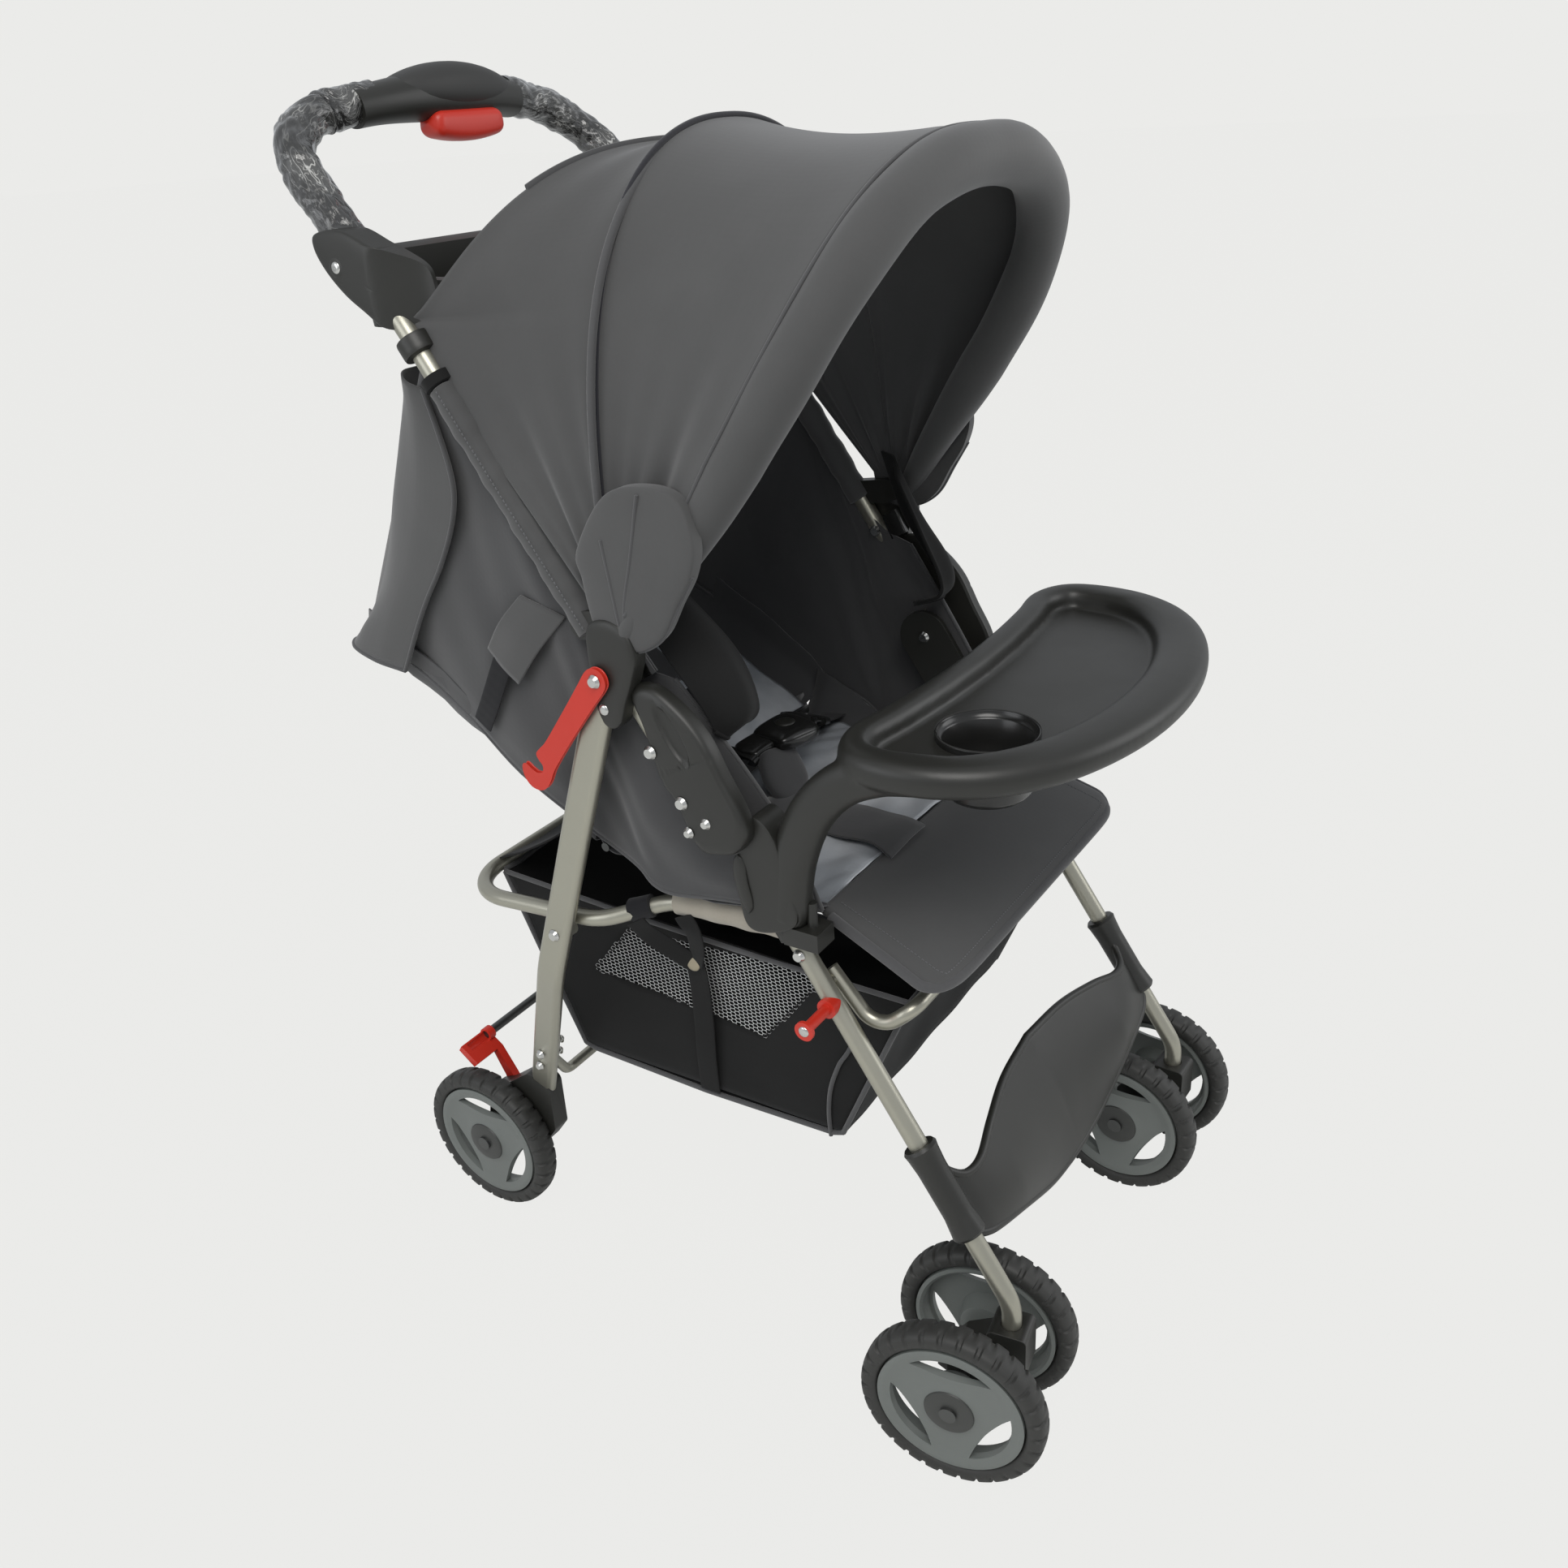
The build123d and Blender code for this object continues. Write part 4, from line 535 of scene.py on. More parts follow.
def soften(node, finish, width, segments=3, angle=38, body=None, name=None, trim=None):
    """A copy of a CAD node with its triangles merged and its edges rounded, in the node's place.
    With `trim`, what lies further than that many millimetres to either side is cut off."""
    import bmesh

    source = frame["nodes"][node]
    bm = bmesh.new()
    bm.from_mesh(source.data)
    bmesh.ops.remove_doubles(bm, verts=bm.verts, dist=2e-5)
    for sign in (-1, 1) if trim else ():
        parts = bm.verts[:] + bm.edges[:] + bm.faces[:]
        bmesh.ops.bisect_plane(bm, geom=parts, plane_co=(sign * trim * MM, 0, 0), plane_no=(sign, 0, 0),
            clear_outer=True)
        bmesh.ops.holes_fill(bm, edges=[e for e in bm.edges if e.is_boundary])
    bmesh.ops.dissolve_limit(bm, angle_limit=math.radians(0.8), verts=bm.verts, edges=bm.edges)
    mesh = bpy.data.meshes.new(name or node + "_moulded")
    bm.to_mesh(mesh)
    bm.free()
    mesh.polygons.foreach_set("use_smooth", np.ones(len(mesh.polygons), bool))
    mesh.materials.clear()
    mesh.materials.append(finish.material)
    made = bpy.data.objects.new(name or node + "_moulded", mesh)
    bpy.context.scene.collection.objects.link(made)
    edge = made.modifiers.new("edges", "BEVEL")
    edge.width, edge.segments, edge.limit_method, edge.angle_limit = width * MM, segments, "ANGLE", math.radians(angle)
    edge.use_clamp_overlap = True
    if width < 0.05:
        made.modifiers.remove(edge)
    mesh.set_sharp_from_angle(angle=math.radians(55))
    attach(made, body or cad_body[node])
    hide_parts(node)
    return made


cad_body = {node: body for body, nodes in frame["record"]["behaviour"]["bodies"].items() for node in nodes}
for node, finish, width in (
    ("rear_housings", black_plastic, 2.5), ("castor_housing_left", black_plastic, 2.5),
    ("castor_housing_right", black_plastic, 2.5), ("tray_sockets", black_plastic, 1.2),
    ("canopy_clips", black_plastic, 1.0), 
    ("latch_peg", red_plastic, 0.8), ("brake_pedals", red_plastic, 1.2),
    ("safety_slide", red_plastic, 0.6), ("hinge_bases", black_plastic, 1.0),
):
    soften(node, finish, width)
soften("parent_tray", black_plastic, 1.6, trim=188.0)

# %% [markdown]
# ## Wheels
# A tyre is a ring whose section swells at the tread. The tread has blocks on both shoulders, set half a
# pitch apart, so the radius is the round section plus a step that repeats round the wheel. The rim is a
# shallow dish with three lens-shaped windows; they are cut by solids, because their walls run in towards
# the hub, and the edges are then rounded.

# %% Tyres
def tyre_shape(blocks=30, across=26, round_steps=360):
    """Angle a round the wheel, angle s round the section: radius = 67.6 + 8.4 on the tread, blocks 1.6 high."""
    a = np.linspace(0, 2 * pi, round_steps, endpoint=False)[:, None]
    s = np.linspace(0, 2 * pi, across, endpoint=False)[None]
    w = 12.0 * np.sign(np.cos(s)) * abs(np.cos(s)) ** 0.72
    h = 8.0 * np.sign(np.sin(s)) * abs(np.sin(s)) ** 0.72
    shoulder = np.clip((h + 3.0) / 6.0, 0, 1) * np.clip(abs(w) / 4.0 - 0.25, 0, 1)
    side = np.where(w > 0, 0.0, pi / blocks)
    groove = np.clip((np.cos(blocks * (a + side)) - 0.55) / 0.25, 0, 1)
    middle = np.clip(1 - abs(w) / 2.2, 0, 1) * np.clip(h / 4.0, 0, 1)
    r = 68.0 + h - 1.7 * groove * shoulder - 0.9 * middle
    w = w * (1 - 0.09 * groove * shoulder)
    return np.stack([w + 0 * a, r * np.cos(a), r * np.sin(a)], -1)


def at_wheel(points, centre, turn, mirror):
    """A shape about the X axis, mirrored for the right side, turned by the castor and put on its axle."""
    q = points * np.array([-1.0 if mirror else 1.0, 1, 1])
    c, s = math.cos(math.radians(turn)), math.sin(math.radians(turn))
    q = np.stack([q[..., 0] * c - q[..., 1] * s, q[..., 0] * s + q[..., 1] * c, q[..., 2]], -1)
    return q + np.asarray(centre, float)


wheels = {}
for node in frame["nodes"]:
    if node.startswith("tyre_"):
        low, high = (np.array(v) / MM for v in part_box(node))
        turn = 0 if "rear" in node else (8 if "_right_" in node else -2)
        faces_left = node.endswith("rear_left") or node.endswith("left_outer") or node.endswith("right_inner")
        wheels[node[5:]] = ((low + high) / 2, turn, not faces_left)
print("wheels:", {k: [round(float(c)) for c in v[0]] for k, v in wheels.items()})
tyre_points = tyre_shape()
for wheel, (centre, turn, mirror) in wheels.items():
    made = skin("tyre_" + wheel + "_tread", at_wheel(tyre_points, centre, turn, mirror), tyre_rubber,
        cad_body["tyre_" + wheel], close_u=True, close_v=True, crease=32)
    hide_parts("tyre_" + wheel)

# %% Rims
def spun(profile, sides=96):
    """A profile of (x, radius) pairs turned round the X axis."""
    p = np.asarray(profile, float)
    t = np.linspace(0, 2 * pi, sides, endpoint=False)[:, None]
    return np.stack([p[:, 0] + 0 * t, p[:, 1] * np.cos(t), p[:, 1] * np.sin(t)], -1)


rim_profile = [
    (12.0, 0.5), (12.0, 19.0), (9.6, 22.0), (8.6, 30), (8.2, 42), (9.2, 50), (10.6, 54.5), (11.2, 57.5),
        (10.4, 60.2),
    (-10.4, 60.2), (-10.8, 57.0), (-9.0, 54.6), (3.0, 52.6), (3.6, 44), (3.2, 24), (-11.5, 20.5),
        (-12.0, 19.5), (-12.0, 13), (-12.0, 0.5),
]


def window(centre_angle, wide, depth0, depth1):
    """A lens between the arc at radius 50.5 and a flatter line nearer the hub, carried through the rim.
    It narrows with depth, so that its inner wall slopes."""
    layers = []
    for x, shrink in ((depth0, 0.0), (depth1, 1.0)):
        half = wide - 5.0 * shrink
        a = np.radians(np.linspace(-half, half, 22))
        outer = np.stack([(50.5 - 1.2 * shrink) * np.cos(a), (50.5 - 1.2 * shrink) * np.sin(a)], -1)
        y = np.linspace(outer[-1, 1], outer[0, 1], 22)[1:-1]
        inner_r = outer[0, 0] - (7.5 - 6.5 * shrink) * (1 - (y / outer[-1, 1]) ** 2)
        inner = np.stack([inner_r, y], -1)
        lens = np.concatenate([outer, inner])
        c, s = math.cos(centre_angle), math.sin(centre_angle)
        layers.append(np.stack([np.full(len(lens), x), lens[:, 0] * c - lens[:, 1] * s,
            lens[:, 0] * s + lens[:, 1] * c], -1))
    return np.array(layers)


rim_base = skin("rim_base", spun(rim_profile).transpose(1, 0, 2), rim_grey, None, close_v=True, caps=True,
    crease=0)
for k in range(3):
    cutter = skin("cutter", window(math.radians(90 + 120 * k), 44, 20.0, -4.0), rim_grey, None,
        close_v=True, caps=True, crease=0)
    cut = rim_base.modifiers.new("window", "BOOLEAN")
    cut.operation, cut.object, cut.solver = "DIFFERENCE", cutter, "EXACT"
    evaluated = rim_base.evaluated_get(bpy.context.evaluated_depsgraph_get())
    carved = bpy.data.meshes.new_from_object(evaluated)
    rim_base.modifiers.clear()
    rim_base.data = carved
    bpy.data.objects.remove(cutter, do_unlink=True)
rim_points = np.array([v.co for v in rim_base.data.vertices]) / MM
rim_faces = [list(f.vertices) for f in rim_base.data.polygons]
bpy.data.objects.remove(rim_base, do_unlink=True)
print("rim:", len(rim_points), "points")
cap_profile = [(11.0, 20.8), (12.1, 20.2), (12.6, 18.5), (12.9, 12), (12.9, 0.5)]
for wheel, (centre, turn, mirror) in wheels.items():
    q = at_wheel(rim_points, centre, turn, mirror) * MM
    faces = [f[::-1] for f in rim_faces] if mirror else rim_faces
    made = new_mesh("rim_" + wheel + "_dish", q, faces, rim_grey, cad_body["rim_" + wheel], crease=32)
    edge = made.modifiers.new("edges", "BEVEL")
    edge.width, edge.segments, edge.limit_method, edge.angle_limit = 0.0009, 2, "ANGLE", math.radians(34)
    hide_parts("rim_" + wheel)
    cap = skin("cap_" + wheel, at_wheel(spun(cap_profile, 48).transpose(1, 0, 2), centre, turn, mirror),
        cap_black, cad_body["rim_" + wheel], close_v=True, caps=True, crease=40)

# %% [markdown]
# ## Hood
# The hood is two sheets stretched over three arches: a rear one that falls to the handle, a wire bow in
# the middle, and a fat padded roll at the front. Each arch is a superellipse. The sheets are ruled from
# arch to arch at equal shares of their length, then drawn in a little where the cloth sags, with soft
# folds that run out from the pointed feet.

# %% Arches of the hood
hood_hinge = np.array([0.0, 0.0, 650.0])


def superarch(half, reach, p, q, lean, bulge=0.0, count=161, foot=0.0):
    """x = half * cos(t)^p and distance = reach * sin(t)^q in a plane leaning back by `lean` degrees from
    level forward. The foot spreads to pass outside the handle, and the middle bulges up and back."""
    g = np.linspace(0, 1, 400)
    t = pi / 2 * g**3
    x = half * np.cos(t) ** p
    r = reach * np.sin(t) ** q
    e = math.radians(lean)
    x = x + (212.0 - half) * np.exp(-((r / 70.0) ** 2))
    y = -r * math.cos(e) + bulge * np.sin(t) ** 2 * math.sin(e)
    z = r * math.sin(e) + bulge * np.sin(t) ** 2 * math.cos(e)
    side = even(np.stack([x, y, z], 1)[r >= foot], (count + 1) // 2)
    whole = np.concatenate([side * [-1, 1, 1], side[::-1][1:]])
    return whole + hood_hinge


def rear_edge(count=161):
    """Up the handle from the foot to the collar, then over in a curve that leaves the collar forwards."""
    g = np.linspace(0, 1, 120)
    handle = np.stack([211 - 12 * g**0.5, -2 + 184 * g, 656 + 216 * g], 1)
    q = np.linspace(0, 1, 160)[1:]
    over = np.stack([196.5 * np.cos(q * pi / 2) ** 0.72, 182 - 115 * q**0.72,
        872 + 108 * np.sin(q * pi / 2) ** 1.25], 1)
    side = even(np.concatenate([handle, over]), (count + 1) // 2)
    return np.concatenate([side * [-1, 1, 1], side[::-1][1:]])


arch_mid = superarch(200.5, 343.5, 0.89, 0.64, 93.4, foot=6)
arch_front = superarch(190.0, 363.0, 0.83, 0.42, 54.0, bulge=32.0, foot=14)
arch_rear = rear_edge()
s = np.linspace(0, 1, 161)
up_share = 1 - abs(2 * s - 1)  # 0 at a foot, 1 at the top
roll_r = 20.5 * (0.40 + 0.60 * np.clip(up_share / 0.34, 0, 1) ** 0.8)
print("hood tops:", arch_mid[80].round(), arch_front[80].round(), arch_rear[80].round())

# %% Sheets of the hood
def outward(arch, other):
    """Square to the arch and to the cloth that leaves it, pointing out of the hood."""
    n = unit(np.cross(np.gradient(arch, axis=0), other - arch))
    away = arch - np.array([0, -40, 730.0])
    return n * np.sign(np.einsum("ij,ij->i", n, away))[:, None]


front_out = outward(arch_front, arch_mid)
front_back = unit(arch_mid - arch_front)
front_line = arch_front + front_out * (roll_r * 0.80)[:, None] + front_back * (roll_r * 0.62)[:, None]


def hood_sheet(a, b, sag, folds, rows=41, seed=3):
    """Ruled from arch a to arch b, drawn in by sag * 4v(1-v) over the top, plus folds near the feet."""
    v = np.linspace(0, 1, rows)[None, :, None]
    grid = a[:, None] * (1 - v) + b[:, None] * v
    n = outward(a * 0.5 + b * 0.5, b)[:, None]
    u = up_share[:, None, None]
    lean_in = -sag * 4 * v * (1 - v) * (0.35 + 0.65 * np.sin(pi / 2 * np.clip(u * 1.25, 0, 1)))
    wave = np.sin(2 * pi * (2.3 * v + 0.35 * u + 0.13)) + 0.6 * np.sin(2 * pi * (4.1 * v - 0.9 * u + 0.4))
    foot = np.clip(u / 0.10, 0, 1) * np.exp(-(((u - 0.16) / 0.24) ** 2))
    rng = np.random.default_rng(seed)
    slow = sum(
        np.sin(2 * pi * (k[0] * s[:, None, None] + k[1] * v + k[2])) * k[3]
        for k in rng.uniform([1.5, 0.4, 0, 0.4], [5.5, 1.6, 1, 1.0], (5, 4))
    )
    hem = np.clip(np.minimum(v, 1 - v) / 0.12, 0, 1)
    return grid + n * (lean_in + hem * (folds * wave * foot + 0.55 * slow * np.clip(u * 3, 0, 1)))


hood_front = skin("hood_front_sheet", hood_sheet(arch_mid, front_line, 9.0, 2.6), charcoal, None, thick=1.6,
    crease=0)
hood_rear = skin("hood_rear_sheet", hood_sheet(arch_mid, arch_rear, 6.0, 2.2, seed=8), charcoal, None,
    thick=1.6, crease=0)
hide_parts("canopy_front_panel")
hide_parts("canopy_rear_panel")
tuple(front_line[80] * MM)
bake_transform(hood_front)
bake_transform(hood_rear)

# %% Roll, pipings and snaps of the hood
roll_path = arch_front
hood_cord = cloth("hood_cord", "232328", weave=0.7, depth=0.5, crumple=0.05)
puffed = 1 + 0.02 * np.sin(np.linspace(0, 60, 161)) * np.clip(up_share * 4, 0, 1)
roll = tube("hood_roll", roll_path, front_out, roll_r * puffed * 1.02, roll_r * puffed * 0.96, charcoal,
    "canopy_front", sides=32)
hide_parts("canopy_front_rim")
tube("hood_bow_piping", arch_mid + outward(arch_mid, arch_front) * 1.9, (0, 1, 0), 2.4, None, hood_cord,
    "canopy_mid", sides=10)
tube("hood_roll_seam", front_line[4:-4] + front_out[4:-4] * 0.8, (0, 1, 0), 1.5, None, binding,
    "canopy_front", sides=8)
tube("hood_rear_hem", arch_rear[60:101], (0, 1, 0), 1.9, 3.6, binding, "handle", sides=10)
for side, sign in (("right", -1), ("left", 1)):
    dome("hood_snap_" + side, (sign * 209.5, -12, 706), (sign, 0, 0), 5.0, 2.4, dark_steel_and_shade, "canopy_mid")

# %% [markdown]
# ## Sewing
# Three helpers serve every sewn piece. `stitches` lays short raised threads along a path, `piping` runs a
# thin bound edge along it, and `grid_through` splines a grid through a table of places.

# %% Threads, bound edges and splined grids
def stitches(name, path, out, body, finish=None, pitch=3.4, long=2.2, wide=0.8, lift=0.5):
    """Sewn thread: one low block every `pitch` millimetres along a path; `out` points off the cloth."""
    path = np.asarray(path, float)
    run = np.linalg.norm(np.diff(path, axis=0), axis=1).sum()
    at = even(path, max(3, int(run / pitch)))
    ahead = unit(np.gradient(at, axis=0))
    out = unit(np.broadcast_to(np.asarray(out, float), at.shape))
    side = unit(np.cross(ahead, out))
    corner = np.array(
        [(-1, -1, 0), (1, -1, 0), (1, 1, 0), (-1, 1, 0), (-0.6, -0.6, 1), (0.6, -0.6, 1), (0.6, 0.6, 1),
            (-0.6, 0.6, 1)], float
    )
    spots = (
        at[:, None]
        + ahead[:, None] * corner[:, :1] * long / 2
        + side[:, None] * corner[:, 1:2] * wide / 2
        + out[:, None] * corner[:, 2:] * lift
    )
    block = np.array([(3, 2, 1, 0), (4, 5, 6, 7), (0, 1, 5, 4), (1, 2, 6, 5), (2, 3, 7, 6), (3, 0, 4, 7)])
    faces = (block[None] + 8 * np.arange(len(at))[:, None, None]).reshape(-1, 4).tolist()
    return new_mesh(name, spots * MM, faces, finish or thread, body, crease=0)


def piping(name, path, body, finish=None, r=2.0, flat=1.0, across=(1, 0, 0), closed=False):
    """A bound edge: a thin rod along a path, `flat` times as thick square to `across`."""
    return tube(name, path, across, r, r * flat, finish or binding, body, sides=10, closed=closed)


def grid_through(rows, across, down, closed=False):
    """A smooth grid through a table of places: rows of places, splined along each row, then between rows."""
    q = np.asarray(rows, float)
    k, m = q.shape[:2]
    wide = through(q.transpose(1, 0, 2).reshape(m, k * 3), across, closed).reshape(across, k, 3)
    return through(wide.transpose(1, 0, 2).reshape(k, across * 3), down).reshape(down, across,
        3).transpose(1, 0, 2)


thread = cloth("sewing_thread", "5c5d5f", weave=0.5, crumple=0.0)
for made, grid in ((hood_front, hood_sheet(arch_mid, front_line, 9.0, 2.6)),
    (hood_rear, hood_sheet(arch_mid, arch_rear, 6.0, 2.2, seed=8))):
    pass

# %% [markdown]
# ## Sleeves on the handle
# The hood's rear sheet ends in a sleeve that is threaded over each side of the handle. Above it a short
# length of bare tube shows, under the collar of the tray bracket.

# %% Handle sleeves and collars
def up_handle(d, x=199.0, off=0.0):
    """A place d millimetres up the straight of the handle's right side, `off` in front of its axis."""
    d = np.asarray(d, float)
    return np.stack([0 * d - x, 0.5657 * d - 50 - 0.8246 * off, 0.8246 * d + 540 + 0.5657 * off], -1)


sleeve_at = np.linspace(140, 352, 60)
crinkle = 11.4 + 0.5 * np.sin(sleeve_at / 7) + 0.35 * np.sin(sleeve_at / 3.1 + 1)
for side, path in both(up_handle(sleeve_at)):
    tube("handle_sleeve_" + side, path, (1, 0, 0), crinkle * end_round(60, 0.03) ** 0.3, None, charcoal,
        "handle", sides=24)
for side, path in both(up_handle(sleeve_at[2:-2], x=211.0, off=4.0)):
    stitches("handle_sleeve_seam_" + side, path, (path[0, 0], 0, 0), "handle")
for side, path in both(up_handle(np.linspace(349, 360, 8))):
    tube("sleeve_end_" + side, path, (1, 0, 0), 12.6 * end_round(8, 0.2) ** 0.25, None, black_cloth,
        "handle", sides=24)
for side, path in both(up_handle(np.linspace(375, 392, 10))):
    tube("tray_collar_" + side, path, (1, 0, 0), 13.5 * end_round(10, 0.2) ** 0.3, None, black_plastic,
        "handle", sides=28)

# %% [markdown]
# ## Side panels and rear curtain
# One dark cloth closes each side between the handle, the seat board and the reclined back. A second cloth,
# the curtain, hangs across the back from the tray and wraps round the corners in two wings, whose free
# edges wave. Both are splined grids through a few places, with folds added square to the cloth.

# %% Side panels
panel_top = through([(-184, -30, 624), (-193, 12, 640), (-196, 60, 702), (-196, 120, 790),
    (-195, 166, 850)], 60)
panel_low = through(
    [(-172, -141, 450), (-178, -100, 445), (-184, -50, 442), (-187, -12, 437), (-188, 8, 441),
        (-187, 22, 453), (-186, 42, 463), (-185, 75, 477), (-182, 143, 509), (-176, 197, 545),
            (-171, 247, 572), (-166, 318, 606)],
    60,
)
v = np.linspace(0, 1, 42)[None, :, None]
u = np.linspace(0, 1, 60)[:, None, None]
panel = panel_top[:, None] * (1 - v) + panel_low[:, None] * v
panel = panel + np.array([6.0, -14.0, -8.0]) * np.exp(-((u / 0.14) ** 2)) * np.sin(pi * v)
folds = (
    2.2 * np.sin(2 * pi * (1.6 * u + 1.1 * v + 0.1)) + 1.3 * np.sin(2 * pi * (3.3 * u - 1.7 * v + 0.4))
    + 0.7 * np.sin(2 * pi * (6.1 * u + 2.4 * v))
)
hold = np.clip(np.minimum(np.minimum(u, 1 - u) / 0.1, np.minimum(v, 1 - v) / 0.1), 0, 1)
panel = panel + np.array([-1.0, 0, 0]) * hold * (folds + 4.0 * np.sin(pi * v)) + np.array([0, -2.0,
    -1.0]) * hold * folds * 0.3
for side, grid in both(panel):
    made = skin("side_panel_" + side, grid, charcoal_dark, "handle", thick=1.4, crease=0)
    piping("side_panel_hem_" + side, grid[:, -1], "handle", r=1.8, across=(0, 0, 1))
    piping("side_panel_front_hem_" + side, grid[0], "handle", r=1.6, across=(1, 0, 0))
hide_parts("side_panels")

# %% Rear curtain
free_edge = through([(-195, 173, 825), (-199, 159, 791), (-202, 150, 760), (-201, 155, 736),
    (-199, 173, 701), (-196, 201, 665), (-192, 225, 634), (-184, 262, 582)], 41)
corner_line = through([(-178, 206, 834), (-178, 212, 802), (-176, 241, 746), (-174, 265, 694),
    (-172, 292, 643), (-171, 316, 616), (-170, 337, 592)], 41)
middle_line = through([(0, 226, 836), (0, 256, 780), (0, 288, 720), (0, 320, 660), (0, 344, 604)], 41)
rows = np.arange(0, 41, 5)
near_corner = corner_line[rows] * [0.86, 1, 1] + [0, 7, 0]
shoulder = corner_line[rows] * 0.45 + middle_line[rows] * 0.55 + np.array([0, 8.0, 0])
wing_mid = (free_edge[rows] + corner_line[rows]) / 2 + np.array([-7.0, 2, 0])
half_rows = np.stack([free_edge[rows], wing_mid, corner_line[rows] + [-3, 0, 0], near_corner, shoulder,
    middle_line[rows]], 1)
table = np.concatenate([half_rows, half_rows[:, ::-1][:, 1:] * [-1, 1, 1]], 1)
curtain = grid_through(table, 141, 49)
cu = np.linspace(0, 1, 141)[:, None, None]
cv = np.linspace(0, 1, 49)[None, :, None]
sway = (
    3.0 * np.sin(2 * pi * (2.2 * cu + 0.5 * cv)) + 1.6 * np.sin(2 * pi * (5.3 * cu - 0.8 * cv + 0.2))
    + 0.8 * np.sin(2 * pi * (9 * cu + 2 * cv))
)
curtain = curtain + np.array([0, 1.0, 0.2]) * sway * np.clip(cv / 0.15, 0,
    1) * np.clip(np.minimum(cu, 1 - cu) / 0.2, 0, 1)
made = skin("rear_curtain_sheet", curtain, charcoal, "handle", thick=1.4, crease=0)
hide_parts("rear_curtain")
for side, edge in both(curtain[0]):
    piping("curtain_hem_" + side, edge, "handle", r=2.4, flat=0.7, across=(1, 0, 0))
piping("curtain_bottom_hem", curtain[:, -1], "handle", r=2.0, across=(0, 0, 1))

# %% [markdown]
# ## Seat and back
# The seat board, the back board and the front flap are cardboard covered in padded cloth. The pads are
# blown up by a short cloth simulation, which gives them the tight corners and slack middles of a real
# pad, and their sewn channels are pressed in afterwards. A slack film lies on the seat.

# %% Blown-up pads
def slab(outline, axis, thick, inset=3.0):
    """Loops of one outline stacked along an axis, drawn in by `inset` at both faces, so its edges are round."""
    middle = outline.mean(0)
    reach = np.linalg.norm(outline - middle, axis=1).mean()
    loops = []
    for h, d in ((0.0, inset), (0.18, 0.6), (0.5, 0.0), (0.82, 0.6), (1.0, inset)):
        loops.append(middle + (outline - middle) * (1 - d / reach) + np.asarray(axis, float) * thick * h)
    return np.array(loops)


def oblong(half_w, half_l, power=7.0, count=120):
    """A superellipse with nearly square corners, as (across, along) pairs."""
    t = np.linspace(0, 2 * pi, count, endpoint=False)
    c, s = np.cos(t), np.sin(t)
    return np.stack([half_w * np.sign(c) * abs(c) ** (2 / power),
        half_l * np.sign(s) * abs(s) ** (2 / power)], 1)


def puff(name, grid, finish, body, cap=8.0, voxel=5.0, pressure=4.0, press=None):
    """A closed skin remeshed to even cells and blown up; no point moves further than `cap` millimetres.
    `press` takes the points in millimetres and returns them with the sewn channels pressed in."""
    start = skin(name + "_start", grid, finish, None, close_v=True, caps=True, crease=0)
    cells = start.modifiers.new("cells", "REMESH")
    cells.mode, cells.voxel_size = "VOXEL", voxel * MM
    mesh = bpy.data.meshes.new_from_object(start.evaluated_get(bpy.context.evaluated_depsgraph_get()))
    bpy.data.objects.remove(start, do_unlink=True)
    made = bpy.data.objects.new(name, mesh)
    bpy.context.scene.collection.objects.link(made)
    rest = np.empty(len(mesh.vertices) * 3)
    mesh.vertices.foreach_get("co", rest)
    rest = rest.reshape(-1, 3)
    moved = rest
    scene = bpy.context.scene
    scene.frame_set(1)
    air = made.modifiers.new("air", "CLOTH")
    air.settings.quality = 4
    air.settings.use_pressure, air.settings.uniform_pressure_force = True, pressure
    air.settings.effector_weights.gravity = 0.0
    air.settings.tension_stiffness = air.settings.compression_stiffness = 20.0
    air.collision_settings.use_collision = False
    for step in range(1, 21):
        scene.frame_set(step)
    blown = made.evaluated_get(bpy.context.evaluated_depsgraph_get()).to_mesh()
    moved = np.empty(len(mesh.vertices) * 3)
    blown.vertices.foreach_get("co", moved)
    moved = moved.reshape(-1, 3)
    made.modifiers.clear()
    scene.frame_set(1)
    step = moved - rest
    far = np.linalg.norm(step, axis=1, keepdims=True)
    points = rest + step * np.minimum(1, cap * MM / np.maximum(far, 1e-9))
    if press is not None:
        points = press(points / MM) * MM
    mesh.vertices.foreach_set("co", points.ravel())
    mesh.polygons.foreach_set("use_smooth", np.ones(len(mesh.polygons), bool))
    mesh.materials.clear()
    mesh.materials.append(finish.material)
    mesh.update()
    finer = made.modifiers.new("finer", "SUBSURF")
    finer.levels = finer.render_levels = 1
    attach(made, body)
    print(name, "cells:", len(mesh.vertices), "swell:", round(float(far.max() / MM), 1), "mm")
    return made


# %% Seat pad
seat_mid = np.array([0, -37.0, 0])
seat_outline = np.concatenate([oblong(157, 96) + seat_mid[:2], np.full((120, 1), 425.6)], 1)


def seat_channels(p):
    """Two seams across the seat: the top sinks by a bell curve of the distance to each, less near the sides."""
    top = np.clip((p[:, 2] - 433) / 5, 0, 1)
    sink = 3.2 * np.exp(-(((p[:, 1] + 70) / 4) ** 2)) + 3.2 * np.exp(-(((p[:, 1] - 8) / 4) ** 2))
    return p - np.stack([0 * top, 0 * top, top * sink * np.clip((150 - abs(p[:, 0])) / 12, 0, 1)], 1)


seat_pad = puff("seat_pad", slab(seat_outline, (0, 0, 1), 14.0), charcoal_dark, "root", cap=6.0,
    press=seat_channels)
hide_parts("seat_base")

